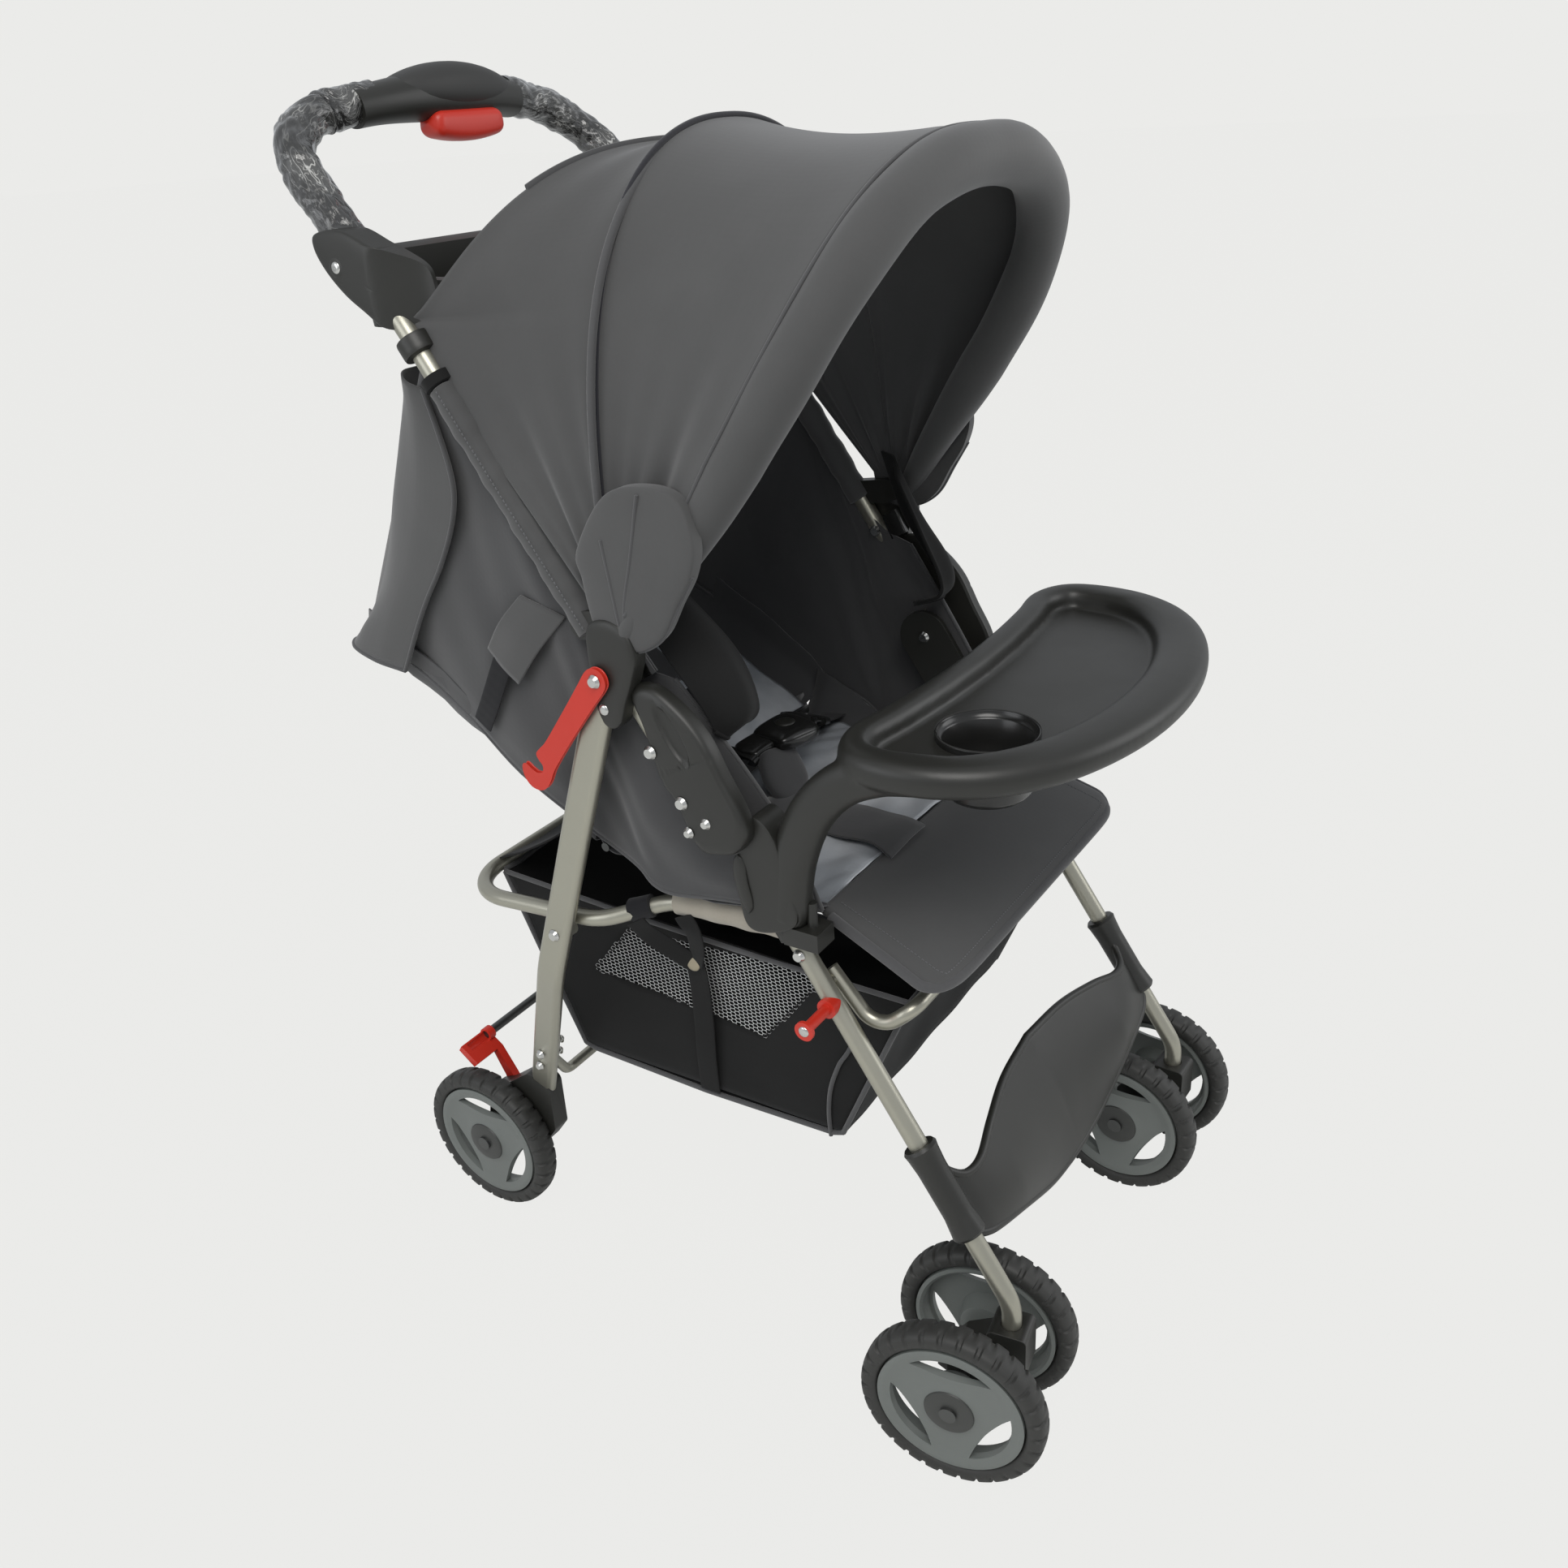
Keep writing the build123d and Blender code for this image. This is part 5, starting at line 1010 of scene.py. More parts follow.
# %% Film over the seat, as delivered
fu, fv = np.meshgrid(np.linspace(-1, 1, 70), np.linspace(-1, 1, 50), indexing="ij")
film = np.stack([fu * 150, -40 + fv * 94, 449.5 - 5.0 * fu**4 - 3.0 * fv**4], -1)
film[...,
    2] += (
        1.1 * np.sin(9 * fu + 5 * fv) + 0.8 * np.sin(17 * fv - 6 * fu)
        + 0.5 * np.sin(31 * fu * fv + 4 * fu)
    )
made = skin("seat_liner", film, seat_film, "root", thick=0.8, crease=0)

# %% Back pad
lean = math.radians(29.0)
back_up = np.array([0, math.cos(lean), math.sin(lean)])
back_out = np.array([0, -math.sin(lean), math.cos(lean)])
back_foot = np.array([0, 78.0, 446.0])


def on_back(across, up, out):
    """A place on the back board: across it, up it from its hinge, and out of its face."""
    across, up, out = np.broadcast_arrays(*(np.asarray(k, float) for k in (across, up, out)))
    return back_foot + across[..., None] * np.array([1.0, 0, 0]) + up[..., None] * back_up + out[...,
        None] * back_out


def back_channels(p):
    """Two seams across the back pad, 100 mm apart, and two up it, sunk by a bell curve of distance."""
    q = p - back_foot
    up, out = q @ back_up, q @ back_out
    face = np.clip((out - 1.0) / 4, 0, 1)
    sink = sum(3.5 * np.exp(-(((up - k) / 4.5) ** 2)) for k in (104.0, 206.0))
    sink = sink + 2.5 * np.exp(-(((abs(q[:, 0]) - 104) / 4.5) ** 2))
    return p - back_out * (face * sink)[:, None]


back_plan = oblong(152, 148)
back_pad = puff("back_pad", slab(on_back(back_plan[:, 0], back_plan[:, 1] + 160, -7.6), back_out, 13.5),
    charcoal_dark, "backrest", cap=6.5, press=back_channels)
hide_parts("backrest")

# %% Front flap: a board bound along its free edges
gu = np.linspace(-1, 1, 61)[:, None]
gv = np.linspace(0, 1, 37)[None, :]
flap_half = 161 + 16 * gv**0.8
corner_in = 12 * np.clip((gv - 0.86) / 0.14, 0, 1) ** 2.2
flap = np.stack(
    [gu * (flap_half - corner_in), -134 - 111 * gv + 9 * abs(gu) ** 14 * gv,
        442.5 - 31.5 * gv - 4.5 * gv**3 + 1.6 * np.sin(3.1 * gu + 2 * gv) * gv * (1 - gv)], -1
)
flap[..., 2] += 3.0 * (1 - gu**2) * np.sin(pi * gv)
flap_board = skin("front_flap", flap, charcoal, "root", crease=0)
wall = flap_board.modifiers.new("thickness", "SOLIDIFY")
wall.thickness, wall.offset = 0.007, 0.0
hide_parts("seat_flap")
flap_rim = np.concatenate([flap[0, 3:], flap[1:-1, -1], flap[-1, 3:][::-1]])
piping("front_flap_binding", even(flap_rim, 160), "root", r=4.3, across=(0, 0, 1))
inner_rim = np.concatenate([flap[3, 3:-3], flap[3:-3, -3], flap[-4, 3:-3][::-1]]) + [0, 0, 3.7]
stitches("front_flap_seam", inner_rim, (0, 0, 1), "root")

# %% [markdown]
# ## Basket
# The basket is a black cloth trough. Each side has a sewn-in window of open netting, made here as real
# hexagonal strands, because light has to pass through it. The cloth sides are rings of points from the
# outline in to the window, and they are drawn in where the cloth sags.

# %% Cloth of the basket
def ring_between(outer, inner, rows, count=160):
    """Rings from one closed outline to another: straight steps between points at equal shares of each."""
    a, b = (even(np.concatenate([o, o[:1]]), count + 1)[:-1] for o in (np.asarray(outer, float),
        np.asarray(inner, float)))
    w = np.linspace(0, 1, rows)[:, None, None]
    return a * (1 - w) + b * w


def outline_3d(x, places):
    return np.array([(x, y, z) for y, z in places], float)


side_outer = [(-203, 372), (-137, 219), (145, 213), (217, 380)]
side_inner = [(-125, 366), (-54, 287), (122, 300), (68, 357)]
side_inner = [(-127, 372), (-58, 287), (124, 300), (72, 360)]
for side, sign in (("right", -1), ("left", 1)):
    cloth_side = ring_between(outline_3d(sign * 150, side_outer), outline_3d(sign * 150, side_inner), 14)
    depth = np.exp(-(((cloth_side[..., 1] - 10) / 130) ** 2) - (((cloth_side[..., 2] - 300) / 60) ** 2))
    ripple = 1.2 * np.sin(cloth_side[..., 1] / 17 + cloth_side[..., 2] / 23)
    edge = np.clip(np.minimum(cloth_side[..., 2] - 215, 378 - cloth_side[..., 2]) / 25, 0, 1)
    cloth_side[..., 0] -= sign * (7.0 * depth + ripple) * edge
    made = skin("basket_side_" + side, cloth_side, black_cloth, "root", close_v=True, thick=1.4, crease=0)
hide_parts("basket")

su = np.linspace(-1, 1, 61)[:, None]
trough_line = through([(-203, 373), (-170, 296), (-143, 230), (-128, 216), (-60, 212), (5, 210), (75, 210),
    (132, 211), (152, 222), (184, 296), (218, 381)], 120)
trough = np.stack(np.broadcast_arrays(su * 149.5, trough_line[None, :, 0], trough_line[None, :, 1]),
    -1).copy()
inside = np.clip((1 - abs(su)) / 0.15, 0, 1)
trough[..., 2] += inside * 1.1 * np.sin(su * 11 + trough[..., 1] / 26)
trough[..., 1] += np.where(trough[..., 2] > 235,
    inside * (1 - su**2) * 5.0 * np.sin(pi * (trough[..., 2] - 235) / 140) * -np.sign(trough[..., 1]), 0)
made = skin("basket_trough", trough, black_cloth, "root", thick=1.4, crease=0)

# %% Netting, bindings and strap of the basket
def netting(name, corners, cell, strand, finish, body, sink=None):
    """Hexagons laid in a flat four-cornered window, their edges made into strands by the Wireframe modifier."""
    c = np.asarray(corners, float)
    e1 = unit(c[3] - c[0])
    normal = unit(np.cross(c[3] - c[0], c[1] - c[0]))
    e2 = np.cross(normal, e1)
    flat = np.stack([(c - c[0]) @ e1, (c - c[0]) @ e2], 1)
    low, high = flat.min(0), flat.max(0)
    long = 1.45
    dx, dy = cell * 1.5 * long, cell * math.sqrt(3)
    i, j = np.meshgrid(np.arange(int((high[0] - low[0]) / dx) + 2),
        np.arange(int((high[1] - low[1]) / dy) + 2), indexing="ij")
    mid = np.stack([low[0] + i * dx, low[1] + (j + 0.5 * (i % 2)) * dy], -1).reshape(-1, 2)
    order = flat if np.cross(flat[1] - flat[0], flat[2] - flat[1]) > 0 else flat[::-1]
    inside = np.ones(len(mid), bool)
    for k in range(4):
        a, b = order[k], order[(k + 1) % 4]
        inside &= np.cross(b - a, mid - a) > -cell * 0.6 * np.linalg.norm(b - a)
    mid = mid[inside]
    turn = np.arange(6) * pi / 3
    spots = mid[:, None] + cell * np.stack([long * np.cos(turn), np.sin(turn)], 1)
    keys = np.round(spots.reshape(-1, 2) / (cell * 0.05)).astype(int)
    _, first, back = np.unique(keys, axis=0, return_index=True, return_inverse=True)
    p2 = spots.reshape(-1, 2)[first]
    p = c[0] + p2[:, :1] * e1 + p2[:, 1:] * e2
    if sink is not None:
        p = sink(p)
    made = new_mesh(name, p * MM, back.reshape(-1, 6).tolist(), finish, body, crease=0)
    wire = made.modifiers.new("strands", "WIREFRAME")
    wire.thickness, wire.use_replace, wire.use_even_offset = strand * MM, True, False
    return made


net_cord = cloth("net_cord", "c4c5c5", weave=0.4, crumple=0.0)
for side, sign in (("right", -1), ("left", 1)):
    def sag(p, sign=sign):
        depth = np.exp(-(((p[:, 1] - 10) / 130) ** 2) - (((p[:, 2] - 300) / 60) ** 2))
        return p - np.stack([sign * 7.0 * depth, 0 * depth, 0 * depth], 1)

    netting("basket_net_" + side, outline_3d(sign * 150, side_inner), 2.1, 0.75, net_cord, "root", sag)
    ring = sag(even(outline_3d(sign * 151, side_inner + side_inner[:1]), 200))
    stitches("basket_window_seam_" + side, ring, (sign, 0, 0), "root", finish=black_cloth)
    line = lambda *places: even(outline_3d(sign * 150.5, places), 60)
    piping("basket_foot_binding_" + side, line((-137, 219), (-127, 215), (5, 209), (132, 210), (145, 213)),
        "root", r=2.3, across=(1, 0, 0))
    piping("basket_front_binding_" + side, line((-203, 372), (-170, 296), (-137, 219)), "root", r=2.3)
    piping("basket_rear_binding_" + side, line((145, 213), (182, 296), (217, 380)), "root", r=2.3)
    piping("basket_top_binding_" + side, line((-203, 372), (-60, 371.5), (72, 374), (217, 380)), "root",
        r=2.6, flat=0.6, across=(0, 0, 1))
for name, k in (("front", 0), ("rear", -1)):
    piping("basket_lip_" + name, trough[:, k], "root", r=2.4, across=(0, 0, 1))

# %% Flap from the bar to the back board
flap_rows = []
for x in (-150, -100, -40, 40, 100, 150):
    flap_rows.append([(x, 222, 391), (x, 196, 402), (x, 158, 425), (x * 0.97, 126, 449),
        (x * 0.95, 104, 462)])
hang = grid_through(flap_rows, 81, 31)
hang[..., 2] -= 5.0 * np.sin(pi * np.linspace(0, 1, 31))[None] + 1.3 * np.sin(hang[..., 0] / 19 + hang[...,
    1] / 31)
made = skin("basket_flap", hang, black_cloth, None, thick=1.4, crease=0)
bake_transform(made)

# %% [markdown]
# ## Child's tray
# The tray is one fat moulding: a rounded rim whose near and far ends run on into two arms that drop to
# their sockets. The rim, the floor and the arms are laid through each other, merged by a voxel remesh and
# smoothed, so that they flow together as a moulding does. The cup hole is then cut clean.

# %% Body of the tray
def moulded(name, parts, voxel, finish, body, rounds=6, cutters=()):
    """Solids merged into one skin of even cells, smoothed, and cut by other solids."""
    merged = join(name + "_parts", parts, finish, None, crease=0)
    cells = merged.modifiers.new("cells", "REMESH")
    cells.mode, cells.voxel_size = "VOXEL", voxel * MM
    soft = merged.modifiers.new("soft", "SMOOTH")
    soft.factor, soft.iterations = 0.5, rounds
    for cutter in cutters:
        cut = merged.modifiers.new("cut", "BOOLEAN")
        cut.operation, cut.object, cut.solver = "DIFFERENCE", cutter, "EXACT"
    mesh = bpy.data.meshes.new_from_object(merged.evaluated_get(bpy.context.evaluated_depsgraph_get()))
    for gone in (merged, *cutters):
        bpy.data.objects.remove(gone, do_unlink=True)
    mesh.polygons.foreach_set("use_smooth", np.ones(len(mesh.polygons), bool))
    mesh.set_sharp_from_angle(angle=math.radians(50))
    mesh.materials.clear()
    mesh.materials.append(finish.material)
    made = bpy.data.objects.new(name, mesh)
    bpy.context.scene.collection.objects.link(made)
    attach(made, body)
    print(name, "cells:", len(mesh.polygons))
    return made


tray_half = np.array(
    [(0, -184, 11.5), (60, -182, 11.5), (118, -177, 11.5), (158, -172, 12), (184, -183, 13),
        (192, -208, 15), (186, -247, 17), (163, -281, 19), (122, -308, 20.5), (64, -326, 21.5),
            (0, -332, 22)], float
)
tray_loop = np.concatenate([tray_half, tray_half[-2:0:-1] * [-1, 1, 1]])
tray_loop = even(through(np.concatenate([tray_loop, tray_loop[:1]]), 600), 241)[:-1]
rim_path = np.stack([tray_loop[:, 0], tray_loop[:, 1], np.full(240, 590.5)], 1)
rim_ring = skin(
    "tray_rim", rings(rim_path, unit(np.cross(np.roll(rim_path, -1, 0) - np.roll(rim_path, 1, 0), (0, 0,
        1.0))), tray_loop[:, 2], 13.2, 28, 2.5, True),
    black_plastic, None, close_u=True, close_v=True, crease=0,
)
floor_loop = tray_loop[:, :2]
floor_plate = skin(
    "tray_plate", np.stack([np.concatenate([floor_loop, np.full((240, 1), h)], 1) for h in (579.5, 587.0)]),
        black_plastic, None, close_v=True, caps=True, crease=0
)
arm_line = through([(-136, -299, 590.5), (-160, -285, 590.5), (-178, -262, 590.5), (-187, -230, 589),
    (-189, -202, 585), (-189.5, -172, 570), (-190, -147, 542), (-190, -131, 502), (-190, -124, 458),
        (-190, -122, 448)], 90)
arm_deep = np.interp(np.linspace(0, 1, 90), [0, 0.06, 0.2, 0.45, 0.7, 0.9, 1],
    [3.0, 11.5, 13.0, 16.5, 17.5, 16.5, 15.5])
arm_wide = np.interp(np.linspace(0, 1, 90), [0, 0.06, 0.3, 1], [3.0, 12.0, 12.8, 12.8])
arms = [tube("tray_arm_" + side, path, (1, 0, 0), arm_wide, arm_deep, black_plastic, None, sides=24,
    power=2.4) for side, path in both(arm_line)]


def drum(name, x, y, low, high, r, sides=96):
    t = np.linspace(0, 2 * pi, sides, endpoint=False)
    ring = np.stack([x + r * np.cos(t), y + r * np.sin(t)], 1)
    return skin(name, np.stack([np.concatenate([ring, np.full((sides, 1), h)], 1) for h in (low, high)]),
        black_plastic, None, close_v=True, caps=True, crease=0)


cup_at = (-105.0, -245.0)
tray = moulded("child_tray_moulding", [rim_ring, floor_plate, *arms], 2.1, black_plastic, "child_tray",
    cutters=[drum("cut", *cup_at, 560, 620, 37.6)])
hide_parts("child_tray")

# %% Inset floor and cup of the tray
def inset_floor():
    """The floor as rings from the rim's foot in to the middle: down the wall, a channel, a raised line, flat."""
    outline = np.stack([tray_loop[:, 0], tray_loop[:, 1]], 1)
    inward = unit(np.cross(np.concatenate([np.roll(outline, -1, 0) - np.roll(outline, 1, 0),
        np.zeros((240, 1))], 1), (0, 0, 1.0)))[:, :2]
    inward *= -np.sign(np.einsum("ij,ij->i", inward, outline - [0, -255]))[:, None]
    middle = np.array([0, -252.0])
    layers = []
    for off, h in ((0.55, 593.0), (0.80, 589.6), (0.98, 588.2), (1.25, 588.0), (1.55, 588.2), (1.62, 589.6),
        (1.72, 590.4), (1.9, 590.6)):
        q = outline + inward * (tray_loop[:, 2] * off)[:, None]
        layers.append(np.concatenate([q, np.full((240, 1), h)], 1))
    last = layers[-1]
    for w in (0.25, 0.5, 0.75, 0.97):
        q = last.copy()
        q[:, :2] = last[:, :2] * (1 - w) + (middle + (last[:, :2] - middle) * [0.6, 0.02]) * w
        layers.append(q)
    return np.array(layers)


tray_floor = skin("child_tray_floor", inset_floor(), tray_inset, None, close_v=True, caps=True, crease=0)
cutter = drum("cut", *cup_at, 560, 620, 37.6)
cut = tray_floor.modifiers.new("cut", "BOOLEAN")
cut.operation, cut.object, cut.solver = "DIFFERENCE", cutter, "EXACT"
mesh = bpy.data.meshes.new_from_object(tray_floor.evaluated_get(bpy.context.evaluated_depsgraph_get()))
tray_floor.modifiers.clear()
tray_floor.data = mesh
bpy.data.objects.remove(cutter, do_unlink=True)
mesh.set_sharp_from_angle(angle=math.radians(40))
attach(tray_floor, "child_tray")

cup_profile = np.array([(37.8, 588), (38.0, 591.2), (37.4, 592.2), (36.6, 592.2), (36.0, 591.0),
    (35.4, 588.5), (33.6, 587.6), (32.6, 586.4), (31.6, 560), (30.8, 549), (27.5, 546), (0.4, 545.5),
        (0.4, 543.4), (29.5, 543.8), (33.0, 548), (34.6, 584), (37.8, 586)])
t = np.linspace(0, 2 * pi, 72, endpoint=False)[:, None]
cup = np.stack([cup_at[0] + cup_profile[:, 0] * np.cos(t), cup_at[1] + cup_profile[:, 0] * np.sin(t),
    cup_profile[:, 1] + 0 * t], -1)
skin("child_tray_cup", cup.transpose(1, 0, 2), gloss_black, "child_tray", close_u=True, close_v=True,
    crease=50)

# %% [markdown]
# ## Footrest
# A thin shell hung between the front legs, moulded in one with two split sleeves. Its upper edge dips
# between shoulders, and its lower edge sweeps down to the middle.

# %% Footrest moulding
def on_leg(z):
    t = (np.asarray(z, float) - 148.0) / 392.0
    return np.stack([-(190 - 7.3 * t), -310 + 260 * t, 148.0 + 392.0 * t], -1)


rest_top = through([(-187.8, -231, 267), (-183, -240, 258), (-178, -250, 247), (-166, -259, 240),
    (-145, -261, 241), (-110, -253, 249), (-60, -242, 254), (0, -236, 255)], 70)
rest_low = through([(-189, -270, 208), (-184, -276, 202), (-174, -281, 197), (-158, -284, 192),
    (-120, -286, 180), (-60, -286, 158), (-20, -286, 151), (0, -286, 150)], 70)
w = np.linspace(0, 1, 30)[None, :, None]
half_rest = rest_top[:, None] * (1 - w) + rest_low[:, None] * w
half_rest[..., 1] -= 8.0 * np.sin(pi * w[..., 0]) * np.clip((176 + half_rest[..., 0]) / 60, 0, 1)
plate = np.concatenate([half_rest, half_rest[::-1][1:] * [-1, 1, 1]])
rest = skin("footrest_plate", plate, black_plastic, "root", crease=0)
wall = rest.modifiers.new("thickness", "SOLIDIFY")
wall.thickness, wall.offset = 0.0052, 0.0
edge = rest.modifiers.new("edges", "BEVEL")
edge.width, edge.segments, edge.limit_method, edge.angle_limit = 0.0016, 2, "ANGLE", math.radians(50)
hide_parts("footrest")
sleeve_line = on_leg(np.linspace(203, 271, 34))
sleeve_r = np.interp(np.linspace(0, 1, 34), [0, 0.03, 0.08, 0.25, 0.75, 0.92, 0.97, 1],
    [12.6, 14.2, 13.6, 12.0, 12.2, 13.4, 14.2, 12.6])
for side, path in both(sleeve_line):
    tube("rest_sleeve_" + side, path, (1, 0, 0), sleeve_r, None, black_plastic, "root", sides=32, crease=40)
for name, ridge in (("top", plate[:, 0]), ("foot", plate[:, -1])):
    tube("rest_rim_" + name, ridge, (0, 1, 0.2), 3.6, 3.6, black_plastic, "root", sides=14)

# %% [markdown]
# ## Hinge covers
# Each fold hinge hides in a moulded cover shaped like a leaf. The cover is domed: rings of its outline,
# shrunk towards the middle, stand further and further out. A lens-shaped recess and a parting line are
# pressed in.

# %% Covers of the fold hinges
cover_outline = [(-9, 622), (-28, 627), (-52, 614), (-72, 594), (-87, 566), (-101, 541), (-105, 523),
    (-95, 507), (-79, 500), (-60, 502), (-43, 537), (-30, 554), (-17, 598)]


def cover_shape():
    """Rings of a closed outline shrunk to its middle; x follows a quarter ellipse out to 216."""
    loop = through(cover_outline, 140, closed=True)
    middle = loop.mean(0)
    layers = []
    for share, x in ((0.90, 200.5), (0.99, 201.5), (1.0, 204.0), (0.99, 209.5), (0.965, 212.4),
        (0.92, 214.2), (0.84, 215.2), (0.7, 215.7), (0.5, 216.0), (0.3, 216.1), (0.1, 216.2),
            (0.01, 216.2)):
        q = middle + (loop - middle) * share
        layers.append(np.stack([np.full(140, -x), q[:, 0], q[:, 1]], 1))
    return np.array(layers)


def press_cover(p):
    """The recess sinks 3 mm by a smooth step across an ellipse; the parting line is a groove 1 mm deep."""
    y, z = p[..., 1], p[..., 2]
    a, b = np.array([-34.0, 614.0]), np.array([-59.0, 573.0])
    along = unit(b - a)
    mid = (a + b) / 2
    e1 = (y - mid[0]) * along[0] + (z - mid[1]) * along[1]
    e2 = (y - mid[0]) * along[1] - (z - mid[1]) * along[0]
    lens = np.clip((1 - (e1 / 26) ** 2 - (e2 / 7.5) ** 2) * 3, 0, 1)
    q = np.array([-85.0, 584.0]) - np.array([-34.0, 562.0])
    d = abs((y + 34) * q[1] - (z - 562) * q[0]) / np.hypot(*q)
    groove = np.clip(1 - d / 1.6, 0, 1)
    out = abs(p[..., 0]) > 208
    return p + np.stack([(2.6 * lens + 0.9 * groove) * out, 0 * y, 0 * y], -1)


cover_grid = cover_shape()
dense = np.concatenate([cover_grid[:7]]
    + [cover_grid[6] * (1 - k) + cover_grid[-1] * k for k in np.linspace(0.04, 1, 26)[:, None, None, None]])
dense[7:, :, 0] = -(215.2 + 1.0 * (1 - (np.linspace(1, 0, 26)[:, None]) ** 2))
for k, (side, grid) in enumerate(both(press_cover(dense))):
    made = skin("hinge_cover_" + side, grid, black_plastic, "handle", close_v=True, caps=True, crease=45)
    if k == 0:
        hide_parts("hinge_covers")

# %% [markdown]
# ## Hub caps and feet of the hood
# The top of each rear leg ends in a black cap that hides under the foot of the hood. The foot is a pocket
# of cloth, pointed and rounded below, into which the arches are pushed. Both are outlines filled with
# rings that bulge outwards.

# %% Bulged plates from outlines
def bulged(name, outline, x_edge, x_mid, finish, body, rings_in=14, power=2.6, base=None, count=120,
    middle=None, crease=45, press=None):
    """Rings of a closed outline shrunk to its middle; x goes from x_edge out to x_mid by a superellipse.
    `press` may move the finished points."""
    loop = through(outline, count, closed=True)
    mid = loop.mean(0) if middle is None else np.asarray(middle, float)
    share = np.concatenate([[1.0], np.cos(np.linspace(0.12, pi / 2 - 0.02, rings_in))])
    rise = (1 - share**power) ** (1 / power)
    layers = [np.concatenate([np.full((count, 1), x_edge + (x_mid - x_edge) * r), mid + (loop - mid) * k],
        1) for k, r in zip(share, rise)]
    if base is not None:
        layers.insert(0, np.concatenate([np.full((count, 1), base), loop], 1))
    grid = np.array(layers) if press is None else press(np.array(layers))
    return skin(name, grid, finish, body, close_v=True, caps=True, crease=crease)


cap_outline = [(20, 668), (22, 640), (20, 610), (15, 594), (6, 590), (-3, 597), (-9, 613), (-17, 632),
    (-22, 650), (-16, 668), (2, 676)]
foot_outline = [(24, 724), (22, 703), (19, 682), (15, 667), (7, 658), (-4, 653.5), (-18, 653), (-34, 659),
    (-48, 671), (-61, 693), (-75, 716), (-80, 740), (-70, 768), (-40, 775), (-5, 765)]
for sign, side in ((1, "left"), (-1, "right")):
    made = bulged("hub_cap_" + side, cap_outline, sign * 214.0, sign * 220.6, black_plastic, "rear_frame",
        base=sign * 205.5, power=5.0)
    if sign > 0:
        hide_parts("leg_caps")
    dome("hub_rivet_" + side, (sign * 220.4, 10.5, 606.0), (sign, 0, 0), 4.6, 2.2, bright_steel,
        "rear_frame", dish=0.5)
    foot = bulged("hood_foot_" + side, foot_outline, sign * 213.0, sign * 217.5, charcoal, "canopy_mid",
        base=sign * 204.0, rings_in=18, power=3.2, middle=(-22, 705))
    for k, seam in enumerate(([(-2, 735), (-7, 700), (-11, 668), (-12, 656)],
        [(-38, 770), (-27, 725), (-17, 690), (-13, 662)])):
        line = through(seam, 50)
        depth = 217.0 - 2.5 * np.linspace(0, 1, 50) ** 4
        piping(f"hood_foot_seam_{side}_{k}", np.stack([sign * depth, line[:, 0], line[:, 1]], 1),
            "canopy_mid", r=1.5, flat=0.9)
    rim = through(foot_outline[:11], 120)
    piping("hood_foot_hem_" + side, np.stack([np.full(120, sign * 211.5), rim[:, 0], rim[:, 1]], 1),
        "canopy_mid", r=1.6)

# %% [markdown]
# ## Inside of the seat
# Cloth closes the well between the side panels and the two pads, so that no daylight shows. The harness is
# flat webbing: two shoulder straps, a waist strap on each side and a crotch strap with its padded cover,
# all meeting in one buckle.

# %% Lining of the seat well
well_rows = []
for y, z, x in ((-138, 447, -170), (-90, 438, -178), (-40, 432, -183), (10, 441, -185), (50, 466, -184),
    (78, 478, -183)):
    well_rows.append([(x, y, z + 4), (x * 0.94, y, (z + 446) / 2), (-150, y, 441)])
well = grid_through(well_rows, 60, 9)
for side, grid in both(well):
    made = skin("seat_gusset_" + side, grid, charcoal_dark, "root", thick=1.2, crease=0)
wing_rows = []
for d, up, x in ((4, 30, 184), (50, 42, 183), (110, 47, 181), (170, 50, 177), (230, 48, 173),
    (292, 44, 168)):
    wing_rows.append([tuple(on_back(-x, d, up)), tuple(on_back(-x + 5, d, up * 0.5)),
        tuple(on_back(-160, d, 8)), tuple(on_back(-140, d, 3))])
wing = grid_through(wing_rows, 60, 17)
wing[..., 0] += 1.6 * np.sin(wing[..., 1] / 13 + wing[..., 2] / 21)
for side, grid in both(wing):
    made = skin("back_gusset_" + side, grid, charcoal_dark, "backrest", thick=1.2, crease=0)
lin_u, lin_v = np.meshgrid(np.linspace(-1, 1, 60), np.linspace(0, 1, 40), indexing="ij")
liner = on_back(lin_u * 148, 2 + lin_v * 150,
    17.5 - 5 * lin_u**4 - 3 * (1 - lin_v) ** 6 + 1.0 * np.sin(8 * lin_u + 6 * lin_v)
    + 0.7 * np.sin(15 * lin_v - 7 * lin_u))
made = skin("back_liner", liner, seat_film, "backrest", thick=0.8, crease=0)

# The side bolsters sit in the hood's shadow: the black cloth on them and on their hems is painted shade.
bolster_rows = [
    [(-194, 4, 706), (-182, -14, 704), (-166, -26, 690)],
    [(-189, -18, 655), (-170, -46, 660), (-150, -61, 642)],
    [(-186, -46, 616), (-170, -74, 622), (-150, -78, 606)],
    [(-185, -58, 598), (-171, -80, 598), (-152, -74, 588)],
    [(-184, -62, 588), (-174, -66, 580), (-158, -46, 576)],
]
bolster = grid_through(bolster_rows, 50, 24)
for side, grid in both(bolster):
    made = skin("side_bolster_" + side, grid, black_cloth, "handle", thick=3.0, crease=0)
    piping("side_bolster_hem_" + side, grid[:, -1], "handle", finish=black_cloth, r=2.4)
crease_rows = [[(x, 44, 449 - 3 * abs(x) / 160), (x, 58, 443.5), (x, 70, 442.5), (x, 80, 449),
    tuple(on_back(x, 14, 11))] for x in (-163, -110, -50, 0, 50, 110, 163)]
seat_crease = grid_through(crease_rows, 60, 17)
seat_crease[..., 2] += 0.9 * np.sin(seat_crease[..., 0] / 11) * np.sin(pi * np.linspace(0, 1, 17))
made = skin("seat_crease", seat_crease, charcoal_dark, "root", thick=1.4, crease=0)
